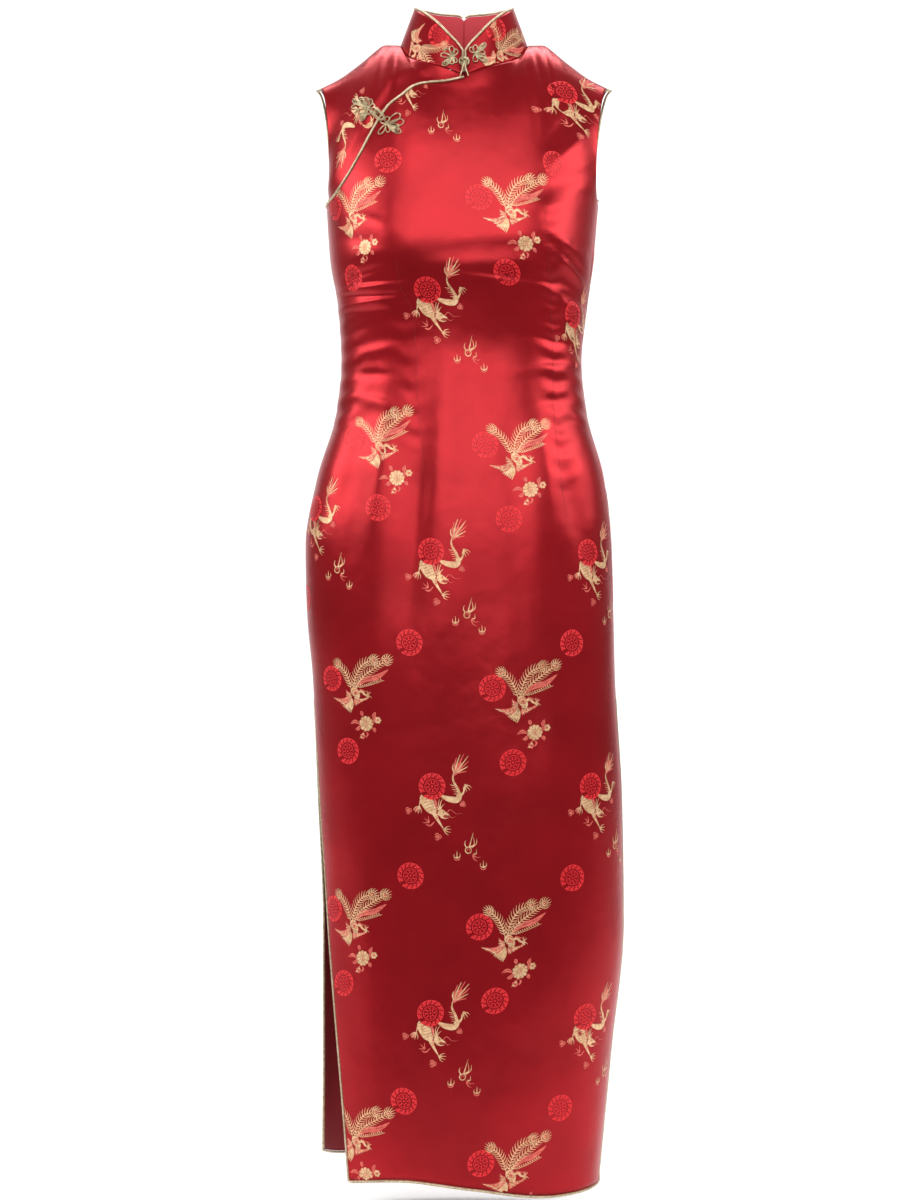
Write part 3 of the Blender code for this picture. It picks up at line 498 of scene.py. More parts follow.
def satinMaterial(name, shade, tone, metallic, roughness, sheen):
    material, tree, shader = newMaterial(name)
    uv = addNode(tree, "ShaderNodeUVMap", {"uv_map": "cloth"})
    coordinate = addNode(tree, "ShaderNodeTexCoord")
    cloud = addNode(tree, "ShaderNodeTexNoise", inputs={"Vector": coordinate.outputs["Object"], "Scale": 14.0,
                                                        "Detail": 3.0, "Roughness": 0.55})
    slub = addNode(tree, "ShaderNodeMapping", inputs={"Vector": uv.outputs["UV"], "Scale": (900.0, 60.0, 1.0)})
    slubNoise = addNode(tree, "ShaderNodeTexNoise", inputs={"Vector": slub.outputs["Vector"], "Scale": 1.0,
                                                            "Detail": 2.0})
    blend = addNode(tree, "ShaderNodeMix", {"data_type": "FLOAT"},
                    {"Factor": 0.12, "A": cloud.outputs["Fac"], "B": slubNoise.outputs["Fac"]})
    ramp = colourRamp(tree, blend.outputs["Result"], ((0.32, shade), (0.68, tone)))
    tree.links.new(ramp.outputs["Color"], shader.inputs["Base Color"])
    setShader(shader, {"Metallic": metallic, "Anisotropic": satin["anisotropic"], "Sheen Weight": sheen,
                       "Sheen Roughness": 0.35, "Sheen Tint": (1.0, 0.35, 0.35, 1.0)})
    tangent = addNode(tree, "ShaderNodeTangent", {"direction_type": "UV_MAP", "uv_map": "cloth"})
    tree.links.new(tangent.outputs["Tangent"], shader.inputs["Tangent"])
    rough = addNode(tree, "ShaderNodeMapRange", inputs={"Value": slubNoise.outputs["Fac"], "To Min": roughness - 0.01,
                                                        "To Max": roughness + 0.02})
    tree.links.new(rough.outputs["Result"], shader.inputs["Roughness"])
    weft = addNode(tree, "ShaderNodeTexWave", {"wave_type": "BANDS", "bands_direction": "Y"},
                   {"Vector": uv.outputs["UV"], "Scale": satin["threads"], "Distortion": 1.5, "Detail": 1.0,
                    "Detail Scale": 4.0})
    fine = addNode(tree, "ShaderNodeBump", inputs={"Height": weft.outputs["Fac"], "Strength": 0.10,
                                                   "Distance": 0.0002})
    soft = addNode(tree, "ShaderNodeBump", inputs={"Height": cloud.outputs["Fac"], "Strength": 0.35,
                                                   "Distance": 0.004, "Normal": fine.outputs["Normal"]})
    tree.links.new(soft.outputs["Normal"], shader.inputs["Normal"])
    return material


def threadMaterial(name, low, high, roughness, metallic):
    material, tree, shader = newMaterial(name)
    coordinate = addNode(tree, "ShaderNodeTexCoord")
    tone = addNode(tree, "ShaderNodeTexNoise", inputs={"Vector": coordinate.outputs["Object"], "Scale": 260.0,
                                                       "Detail": 2.0})
    ramp = colourRamp(tree, tone.outputs["Fac"], ((0.35, low), (0.65, high)))
    tree.links.new(ramp.outputs["Color"], shader.inputs["Base Color"])
    setShader(shader, {"Metallic": metallic, "Roughness": roughness})
    floats = addNode(tree, "ShaderNodeTexWave", {"wave_type": "BANDS", "bands_direction": "DIAGONAL"},
                     {"Vector": coordinate.outputs["Object"], "Scale": 420.0, "Distortion": 2.0})
    bump = addNode(tree, "ShaderNodeBump", inputs={"Height": floats.outputs["Fac"], "Strength": 0.35,
                                                   "Distance": 0.0003})
    tree.links.new(bump.outputs["Normal"], shader.inputs["Normal"])
    return material


satinRed = satinMaterial("satin", satin["shade"], satin["tone"], satin["metallic"], satin["roughness"], 0.05)
satinInside = satinMaterial("satin wrong side", (0.30, 0.008, 0.014), (0.36, 0.010, 0.018), 0.1, 0.55, 0.2)
liningRed = satinMaterial("collar lining", (0.56, 0.030, 0.045), (0.64, 0.038, 0.056), 0.0, 0.62, 0.4)
goldThread = threadMaterial("gold thread", (0.68, 0.38, 0.18), (0.92, 0.62, 0.36), 0.34, 0.35)
salmonThread = threadMaterial("salmon thread", (0.62, 0.09, 0.07), (0.82, 0.18, 0.13), 0.42, 0.2)
redThread = threadMaterial("bright red thread", (0.70, 0.010, 0.018), (0.86, 0.020, 0.028), 0.42, 0.15)
goldCloth = threadMaterial("gold lame", (0.48, 0.37, 0.22), (0.72, 0.60, 0.40), 0.30, 0.7)
goldCord = threadMaterial("gold cord", (0.34, 0.26, 0.14), (0.68, 0.57, 0.36), 0.28, 0.85)
# dark thread of the seams and dart stitches: its darkness is painted shade of the seam grooves and dart creases
seamShadeThread = threadMaterial("seam thread with painted shade", (0.12, 0.004, 0.008), (0.22, 0.012, 0.018), 0.6, 0.0)
print("materials made")


# cloth panels: grids worked out from the form, with the distances along the cloth as their UVs


def gridMesh(name, points, uv, outwardSign):
    rows, columns = points.shape[:2]
    mesh = bpy.data.meshes.new(name)
    grid = bmesh.new()
    bmesh.ops.create_grid(grid, x_segments=columns - 1, y_segments=rows - 1, size=0.5)
    if outwardSign < 0:
        bmesh.ops.reverse_faces(grid, faces=grid.faces)
    grid.to_mesh(mesh)
    grid.free()
    flat = np.empty(len(mesh.vertices) * 3)
    mesh.vertices.foreach_get("co", flat)
    flat = flat.reshape(-1, 3)
    column = np.rint((flat[:, 0] + 0.5) * (columns - 1)).astype(int)
    row = np.rint((flat[:, 1] + 0.5) * (rows - 1)).astype(int)
    mesh.vertices.foreach_set("co", points[row, column].ravel())
    corners = np.empty(len(mesh.loops), dtype=int)
    mesh.loops.foreach_get("vertex_index", corners)
    layer = mesh.uv_layers.new(name="cloth")
    layer.data.foreach_set("uv", uv[row, column][corners].ravel())
    mesh.update()
    mesh.shade_smooth()
    return mesh


def clothPiece(name, points, uv, outwardSign, thickness, outside, inside, nodes):
    mesh = gridMesh(name, points, uv, outwardSign)
    mesh.materials.append(outside)
    mesh.materials.append(inside)
    piece = addObject(name, mesh)
    wall = piece.modifiers.new("thickness", "SOLIDIFY")
    wall.thickness = thickness
    wall.offset = -1.0
    wall.use_even_offset = True
    wall.material_offset = 1
    wall.material_offset_rim = 0
    placePiece(piece, nodes)


def arcLengths(points, axis):
    steps = np.linalg.norm(np.diff(points, axis=axis), axis=-1)
    total = np.cumsum(steps, axis=axis)
    pad = [(0, 0)] * 2
    pad[axis] = (1, 0)
    return np.pad(total, pad)


def clothUv(points, zeroColumn, zeroRow):
    across = arcLengths(points, 1)
    up = arcLengths(points, 0)
    across = across - across[:, zeroColumn:zeroColumn + 1]
    up = up - up[zeroRow:zeroRow + 1, :]
    return np.stack([across, up], axis=-1)


frontColumns = np.concatenate([np.linspace(-1, 0, grain["frontRight"]),
                               np.linspace(body["centreColumn"], 1, grain["frontLeft"])])
bodyHeights = np.concatenate([np.linspace(body["hem"], body["closeRows"], grain["skirtRows"])[:-1],
                              np.linspace(body["closeRows"], body["trimBase"], grain["bodiceRows"])])
trimRow = len(bodyHeights) - 1
frontTops = openingHeight(frontColumns)
share = np.linspace(0, 1, grain["topRows"] + 1)[1:, None]
frontHeights = np.vstack([np.repeat(bodyHeights[:, None], len(frontColumns), axis=1),
                          body["trimBase"] + share * (frontTops - body["trimBase"])])
frontGrid = frontPoints(np.broadcast_to(frontColumns, frontHeights.shape), frontHeights)
frontUv = clothUv(frontGrid, grain["frontRight"] - 1, trimRow)
clothPiece("front_cloth", frontGrid, frontUv, 1, body["cloth"], satinRed, satinInside,
           ["front_panel"])
print("front made")

underColumns = np.linspace(-1, 0, grain["frontRight"])
underTops = openingHeight(underColumns)
underHeights = (underTops - body["underOverlap"]) * np.linspace(1, 0, grain["underRows"])[:, None]
underGrid = underFrontPoints(np.broadcast_to(underColumns, underHeights.shape), underHeights)
underUv = clothUv(underGrid, grain["frontRight"] - 1, 0)
clothPiece("under_front_cloth", underGrid, underUv, 1, body["cloth"], satinRed, satinInside,
           ["under_front"])

backColumns = np.linspace(0, 1, grain["backColumns"])
backHeights = np.concatenate([bodyHeights, np.linspace(body["trimBase"], 0, grain["backTopRows"])[1:]])
collarFirst = math.degrees(collar["endGap"] / collar["halfWidth"])
collarLast = 180 - math.degrees(collar["seamGap"] / 2 / collar["back"])
collarAngles = np.concatenate([np.linspace(collarFirst, 90, grain["collarNear"]),
                               np.linspace(90, collarLast, grain["collarFar"])[1:]])
sides = (("right", -1), ("left", 1))
backGrids, collarGrids, sideUvs = {}, {}, {}
for sideName, side in sides:
    backGrids[side] = backPoints(backColumns[None, :], backHeights[:, None], side)
    sideUvs["back", side] = clothUv(backGrids[side], 0, trimRow) * np.array([-side, 1])
    clothPiece("back_cloth_" + sideName, backGrids[side], sideUvs["back", side], -side, body["cloth"], satinRed,
               satinInside, ["back_" + sideName])
for sideName, side in sides:
    collarGrids[side] = collarPoints((side * collarAngles)[None, :], np.linspace(0, 1, grain["collarRows"])[:, None])
    sideUvs["collar", side] = clothUv(collarGrids[side], 0, 0) * np.array([side, 1])
    clothPiece("collar_cloth_" + sideName, collarGrids[side], sideUvs["collar", side], side, collar["cloth"], satinRed,
               liningRed, ["collar_" + sideName])
print("backs and collar made")


# laying things on the panels: a panel keeps its outer face as a grid, and a full, untrimmed grid with the distances
# across and up it, so that a flat drawing can be put on it without being stretched
def gridNormals(points, sign):
    return unit(np.cross(np.gradient(points, axis=1), np.gradient(points, axis=0))) * sign


def sameGrid(row, column):
    return row, column


def makePanel(grid, sign, full, fullUv, toGrid=sameGrid, nearSide=False):
    scale = cameraPlace["distance"] / cameraPlace["metresPerPixel"] / (cameraPlace["distance"] + full[..., 1])
    hidden = (gridNormals(full, sign)[..., 1] > 0) * (1e5 if nearSide else 0.0)
    pixelX = cameraPlace["photoWidth"] / 2 + (full[..., 0] - cameraPlace["x"]) * scale + hidden
    pixelY = cameraPlace["photoHeight"] / 2 - (full[..., 2] - cameraPlace["z"]) * scale
    return {"grid": grid, "normals": gridNormals(grid, sign), "s": fullUv[..., 0], "t": fullUv[..., 1],
            "toGrid": toGrid, "pixelX": pixelX, "pixelY": pixelY}


def sample(field, row, column):
    rows, columns = field.shape[:2]
    row, column = np.clip(row, 0, rows - 1.001), np.clip(column, 0, columns - 1.001)
    r, c = row.astype(int), column.astype(int)
    a, b = row - r, column - c
    if field.ndim == 3:
        a, b = a[..., None], b[..., None]
    low = field[r, c] * (1 - b) + field[r, c + 1] * b
    high = field[r + 1, c] * (1 - b) + field[r + 1, c + 1] * b
    return low * (1 - a) + high * a


def findPlace(first, second, a, b):
    a, b = np.atleast_1d(np.asarray(a, dtype=float)), np.atleast_1d(np.asarray(b, dtype=float))
    nearest = np.argmin((first - a.mean()) ** 2 + (second - b.mean()) ** 2)
    row, column = (np.full(a.shape, float(start)) for start in np.unravel_index(nearest, first.shape))
    slopes = [np.gradient(field, axis=axis) for field in (first, second) for axis in (0, 1)]
    for _ in range(14):
        firstByRow, firstByColumn, secondByRow, secondByColumn = (sample(slope, row, column) for slope in slopes)
        offA, offB = a - sample(first, row, column), b - sample(second, row, column)
        determinant = firstByRow * secondByColumn - firstByColumn * secondByRow
        stepRow = (offA * secondByColumn - offB * firstByColumn) / determinant
        stepColumn = (offB * firstByRow - offA * secondByRow) / determinant
        row = row + np.clip(stepRow, -25, 25)
        column = column + np.clip(stepColumn, -25, 25)
        row = np.clip(row, -4, first.shape[0] + 3)
        column = np.clip(column, -4, first.shape[1] + 3)
    return row, column


def layOn(panel, s, t, lift):
    row, column = findPlace(panel["s"], panel["t"], s, t)
    row, column = panel["toGrid"](row, column)
    rows, columns = panel["grid"].shape[:2]
    inside = (row >= 0) & (row <= rows - 1) & (column >= 0) & (column <= columns - 1)
    places = sample(panel["grid"], row, column) + unit(sample(panel["normals"], row, column)) * lift[..., None]
    return places, inside


def flatAtPixel(panel, pixelX, pixelY):
    row, column = findPlace(panel["pixelX"], panel["pixelY"], pixelX, pixelY)
    return sample(panel["s"], row, column), sample(panel["t"], row, column)


fullU = np.linspace(-1, 1, grain["fullColumns"])
fullHeights = np.linspace(body["hem"], 0, grain["fullRows"])
fullFront = frontPoints(fullU[None, :], fullHeights[:, None])
fullTrimRow = int(np.argmin(np.abs(fullHeights - body["trimBase"])))
fullFrontUv = clothUv(fullFront, len(fullU) // 2, fullTrimRow)


def frontToGrid(columnsU, tops, steps):
    def convert(row, column):
        u = np.interp(column, np.arange(len(fullU)), fullU)
        height = np.interp(row, np.arange(len(fullHeights)), fullHeights)
        height = height + np.clip(row - len(fullHeights) + 1, 0, None) * 0.005
        height = height + np.clip(row, None, 0) * 0.005
        gridColumn = np.interp(u, columnsU, np.arange(len(columnsU)))
        gridColumn = gridColumn + np.where(column > len(fullU) - 1, 1.0, 0.0) - np.where(column < 0, 1.0, 0.0)
        top = np.interp(u, columnsU, tops)
        return steps(height, top), np.where(u > columnsU[-1] + 1e-6, len(columnsU) + 1.0, gridColumn)
    return convert


def frontSteps(height, top):
    low = np.interp(height, bodyHeights, np.arange(len(bodyHeights))) + np.clip(height - body["hem"], None, 0) * 1e4
    high = len(bodyHeights) - 1 + (height - body["trimBase"]) / (top - body["trimBase"]) * grain["topRows"]
    return np.where(height <= body["trimBase"], low, high)


def underSteps(height, top):
    low = top - body["underOverlap"]
    return (1 - height / low) * (grain["underRows"] - 1)


frontPanel = makePanel(frontGrid, 1, fullFront, fullFrontUv, frontToGrid(frontColumns, frontTops, frontSteps))
underPanel = makePanel(underGrid, 1, fullFront, fullFrontUv, frontToGrid(underColumns, underTops, underSteps))
backPanels = {side: makePanel(grid, -side, grid, sideUvs["back", side]) for side, grid in backGrids.items()}
collarPanels = {side: makePanel(grid, side, grid, sideUvs["collar", side], nearSide=True)
                for side, grid in collarGrids.items()}

# brocade motifs: drawn flat in units of 1.2 mm, x across and y up; each ink is a thread colour
motif = {"unit": 0.0012, "lift": 0.00016, "levelStep": 0.00003, "overDragon": 7}
inks = {"gold": 0, "salmon": 1, "red": 2, "ground": 3}


def turned(x, y, turn):
    return x * math.cos(turn) - y * math.sin(turn), x * math.sin(turn) + y * math.cos(turn)


def smoothLine(corners, count):
    corners = np.array(corners, dtype=float)
    spans = np.linalg.norm(np.diff(corners, axis=0), axis=1)
    keys = np.concatenate([[0.0], np.cumsum(np.sqrt(spans + 1e-9))])
    return hermite(keys, corners, np.gradient(corners, keys, axis=0), np.linspace(0, keys[-1], count))


def strokeWidths(profile, t):
    if profile == "taper":
        return 0.12 + 0.88 * (1 - t) ** 0.8
    if profile == "leaf":
        return np.sin(math.pi * (0.03 + 0.94 * t)) ** 0.85
    if profile == "swell":
        return 0.12 + 0.88 * t**0.8
    if profile == "brush":
        return np.sin(math.pi * (0.05 + 0.90 * t**0.7)) ** 0.6
    return 1 - 0.5 * np.abs(2 * t - 1) ** 8


def stroke(sheet, corners, width, ink, profile="even", pieces=6, level=0):
    line = smoothLine(corners, pieces + 1)
    along = unit(np.gradient(line, axis=0))
    across = np.stack([-along[:, 1], along[:, 0]], axis=1)
    reach = width / 2 * strokeWidths(profile, np.linspace(0, 1, pieces + 1))
    made = bmesh.ops.create_grid(sheet, x_segments=pieces, y_segments=1, size=0.5)["verts"]
    for vert in made:
        i = round((vert.co.x + 0.5) * pieces)
        x, y = line[i] + across[i] * math.copysign(reach[i], vert.co.y)
        vert.co = (x, y, level)
    for face in {face for vert in made for face in vert.link_faces}:
        face.material_index = inks[ink]


def dot(sheet, x, y, radius, ink, level=0, segments=10):
    made = bmesh.ops.create_circle(sheet, cap_ends=True, segments=segments, radius=radius)["verts"]
    bmesh.ops.translate(sheet, verts=made, vec=(x, y, level))
    for face in {face for vert in made for face in vert.link_faces}:
        face.material_index = inks[ink]


def polar(x, y, radius, degrees):
    angle = math.radians(degrees)
    return x + radius * math.cos(angle), y + radius * math.sin(angle)


def arc(sheet, x, y, radius, start, end, width, ink, profile="even", pieces=10, level=0, shrink=0.0):
    steps = [i / 8 for i in range(9)]
    corners = [polar(x, y, radius * (1 - shrink * step), start + (end - start) * step) for step in steps]
    stroke(sheet, corners, width, ink, profile, pieces, level)


def feather(sheet, corners, barb, ink, eye, count):
    spine = smoothLine(corners, count + 1)
    along = unit(np.gradient(spine, axis=0))
    stroke(sheet, corners, 0.85, ink, "even", 14, 1)
    for i in range(1, count + 1):
        length = barb * (0.45 + 0.55 * math.sin(math.pi * min(1.0, 0.12 + 0.76 * i / count)))
        heading = math.degrees(math.atan2(along[i][1], along[i][0]))
        for side in (-1, 1):
            middle = polar(*spine[i], length * 0.52, heading + side * 58)
            tip = polar(*middle, length * 0.56, heading + side * 36)
            stroke(sheet, [spine[i], middle, tip], 1.15, ink, "taper", 4)
    if eye:
        x, y = polar(*spine[-1], eye * 0.9, heading)
        arc(sheet, x, y, eye, 0, 360, 0.75, ink, level=3)
        dot(sheet, x, y, eye * 0.52, "salmon", 3)
        dot(sheet, x, y, eye * 0.2, ink, 4, 6)
        for turn in range(-150, 151, 30):
            base = polar(x, y, eye * 1.3, heading + turn)
            middle = polar(x, y, eye * 2.3, heading + turn * 0.96)
            tip = polar(x, y, eye * (3.7 - 1.1 * abs(turn) / 150), heading + turn * 0.72)
            stroke(sheet, [base, middle, tip], 1.0, ink, "taper", 4, 1)


def fan(sheet, root, firstTip, lastTip, count, width, colours, level=0, bow=0.12):
    root, firstTip, lastTip = (np.array(place, dtype=float) for place in (root, firstTip, lastTip))
    for i in range(count):
        share = i / (count - 1)
        tip = firstTip * (1 - share) + lastTip * share
        middle = (root + tip) / 2
        side = np.array([-(tip - root)[1], (tip - root)[0]]) * bow
        stroke(sheet, [root, middle + side, tip], width, colours[i % len(colours)], "brush", 5, level)


def drawPhoenix(sheet):
    feather(sheet, [(-1, 4), (2, 17), (10, 29), (20, 33)], 7.2, "gold", 2.1, 13)
    feather(sheet, [(1, 4), (9, 16), (21, 25), (33, 33)], 5.6, "gold", 2.1, 14)
    feather(sheet, [(-3, 4), (-6, 13), (-11, 22), (-18, 28)], 6.4, "gold", 1.9, 10)
    stroke(sheet, [(3, 7), (12, 14), (24, 17), (36, 25)], 5.6, "salmon", "leaf", 12)
    for i in range(12):
        x = 5 + 2.1 * i
        y = 8.0 + 0.52 * i + 0.018 * i * i
        stroke(sheet, [(x, y), (x + 1.6, y - 1.9), (x + 4.4, y - 1.3)], 1.0, "gold", "taper", 3, 1)
    for i in range(11):
        x = 7 + 2.2 * i
        y = 11.5 + 0.75 * i
        stroke(sheet, [(x, y), (x + 2.6, y + 2.2)], 0.35, "ground", "even", 2, 2)
    # body, breast and the two wings
    stroke(sheet, [(-2.5, 5), (0.5, 2), (3.5, -3), (2.5, -8)], 8.2, "gold", "brush", 10, 1)
    arc(sheet, 1.6, 0.6, 3.4, -60, 200, 1.0, "salmon", "brush", level=2)
    dot(sheet, 1.8, 0.2, 1.7, "salmon", 2)
    for row in range(4):
        for place in range(3):
            x, y = -1.5 + 2.1 * place + 0.7 * row, 2.4 - 2.5 * row - 0.5 * place
            arc(sheet, x, y, 1.05, 190, 350, 0.34, "ground", pieces=4, level=3)
    fan(sheet, (-3, -3), (-25, -6), (-9, -15), 9, 1.7, ("salmon", "salmon", "gold"), 1)
    fan(sheet, (-2, -6), (-13, -14), (-4, -20), 6, 1.9, ("gold",), 2)
    stroke(sheet, [(-25, -6), (-14, -10), (-5, -19)], 0.8, "gold", "even", 6, 3)
    fan(sheet, (-3, -1), (-9, 3), (-9, -6), 6, 1.3, ("salmon", "gold"), 2)
    fan(sheet, (1, -6), (17, -4), (2, -13), 10, 1.6, ("gold", "salmon"), 1, -0.10)
    # neck, head, crest and beak
    stroke(sheet, [(4, 1), (9, 2), (12, -1), (15, -2)], 2.6, "gold", "brush", 8, 3)
    dot(sheet, 15.4, -2.2, 1.7, "gold", 3)
    dot(sheet, 15.8, -1.9, 0.42, "ground", 4, 6)
    stroke(sheet, [(16.4, -2.4), (18.4, -3.0), (19.6, -4.6)], 0.9, "gold", "taper", 4, 3)
    for turn in (35, 65, 95):
        stroke(sheet, [(15, -1), polar(15, -1, 4.4, turn)], 0.8, "gold" if turn != 65 else "salmon", "brush", 3, 3)
    for step in range(3):
        arc(sheet, 8 + 2.2 * step, 2.6 - 0.8 * step, 1.6, 20, 160, 0.8, "salmon", pieces=4, level=4)
    stroke(sheet, [(13.6, -3.6), (13.2, -5.6), (14.6, -6.6)], 1.2, "salmon", "brush", 4, 3)


def drawSpray(sheet):
    for ring, (count, radius, petal) in enumerate(((11, 5.6, 2.0), (8, 3.5, 1.5))):
        for i in range(count):
            x, y = polar(0, 0, radius, 360 * i / count + 14 * ring)
            dot(sheet, x, y, petal, "gold", ring * 2)
            inner = polar(0, 0, radius - petal * 0.5, 360 * (i + 0.5) / count + 14 * ring)
            outer = polar(0, 0, radius + petal * 0.7, 360 * (i + 0.5) / count + 14 * ring)
            stroke(sheet, [inner, outer], 0.38, "ground", "even", 2, ring * 2 + 1)
    dot(sheet, 0, 0, 2.5, "gold", 4, 12)
    arc(sheet, 0, 0, 2.3, 0, 360, 0.34, "ground", level=5)
    dot(sheet, 0.2, -0.1, 1.0, "salmon", 5)
    for i in range(6):
        x, y = polar(12, 4, 2.2, 60 * i)
        dot(sheet, x, y, 1.3, "gold", 0, 8)
    dot(sheet, 12, 4, 0.9, "salmon", 1, 8)
    for root, tip, bow in (((-7, -1), (-17.5, -1), 2.6), ((-6, -2), (-12, -6), -1.6), ((-4, 7), (-6.5, 12), 1.2),
                           ((6, 7), (9.5, 12), -1.4), ((6.5, -4.5), (10, -8), 1.2), ((8, 1), (9.5, 8), 0.6)):
        middle = ((root[0] + tip[0]) / 2, (root[1] + tip[1]) / 2 + bow)
        stroke(sheet, [root, middle, tip], 3.6, "salmon", "leaf", 6)
        stroke(sheet, [root, middle, tip], 0.4, "ground", "even", 4, 1)
    stroke(sheet, [(-1, -7), (-4, -10), (-7, -15)], 0.9, "salmon", "even", 5)
    for i in range(5):
        x, y = polar(-3.5, -12.5, 1.9, 72 * i)
        dot(sheet, x, y, 1.2, "gold" if i % 2 else "salmon", 1, 8)
    stroke(sheet, [(0, -8), (2, -10), (0, -14)], 1.8, "salmon", "leaf", 4)


def drawMedallion(sheet):
    for radius, width in ((10.8, 4.4), (6.6, 4.4), (2.6, 4.6)):
        arc(sheet, 0, 0, radius, 0, 360, width, "ground", pieces=36, level=-1)
    count = 14
    for i in range(count):
        angle = 236 + 346 * i / count
        stroke(sheet, [polar(0, 0, 12.7, angle - 6), polar(0, 0, 11.6, angle + 8), polar(0, 0, 9.9, angle + 12),
                       polar(0, 0, 8.7, angle + 2)], 1.9, "red", "brush", 7)
        stroke(sheet, [polar(0, 0, 11.4, angle - 4), polar(0, 0, 10.0, angle + 4)], 1.1, "red", "brush", 4, 1)
        dot(sheet, *polar(0, 0, 12.3, angle + 11), 0.85, "red", 0, 8)
        dot(sheet, *polar(0, 0, 9.1, angle + 17), 0.7, "red", 0, 8)
    arc(sheet, 0, 0, 12.7, 240, 580, 0.55, "red", pieces=30)
    arc(sheet, 0, 0, 6.9, 0, 360, 0.7, "red", pieces=28)
    for i in range(8):
        angle = 45 * i
        stroke(sheet, [polar(0, 0, 2.2, angle), polar(0, 0, 4.0, angle + 13), polar(0, 0, 6.0, angle)], 0.9, "red",
               "leaf", 5, 1)
        arc(sheet, *polar(0, 0, 4.7, angle + 22), 0.9, angle - 70, angle + 114, 0.5, "red", pieces=4)
    arc(sheet, 0, 0, 2.8, 0, 360, 0.45, "red", pieces=18)
    dot(sheet, 0, 0, 1.0, "red", 0, 8)


def cloudlet(sheet, x, y, size, heading):
    for turn, reach in ((0, 0.0), (150, 0.9), (-150, 0.9)):
        cx, cy = polar(x, y, size * reach, heading + turn)
        arc(sheet, cx, cy, size * 0.62, heading - 150, heading + 190, 0.85, "salmon", pieces=9)
        dot(sheet, cx, cy, size * 0.24, "salmon", 1, 8)


def claw(sheet, x, y, heading, size, ink):
    for turn in (-62, -22, 18, 58):
        knuckle = polar(x, y, size * 0.55, heading + turn)
        tip = polar(*knuckle, size * 0.6, heading + turn * 0.35)
        stroke(sheet, [(x, y), knuckle, tip], 1.15, ink, "taper", 4, 1)
    dot(sheet, x, y, size * 0.20, ink, 1, 8)


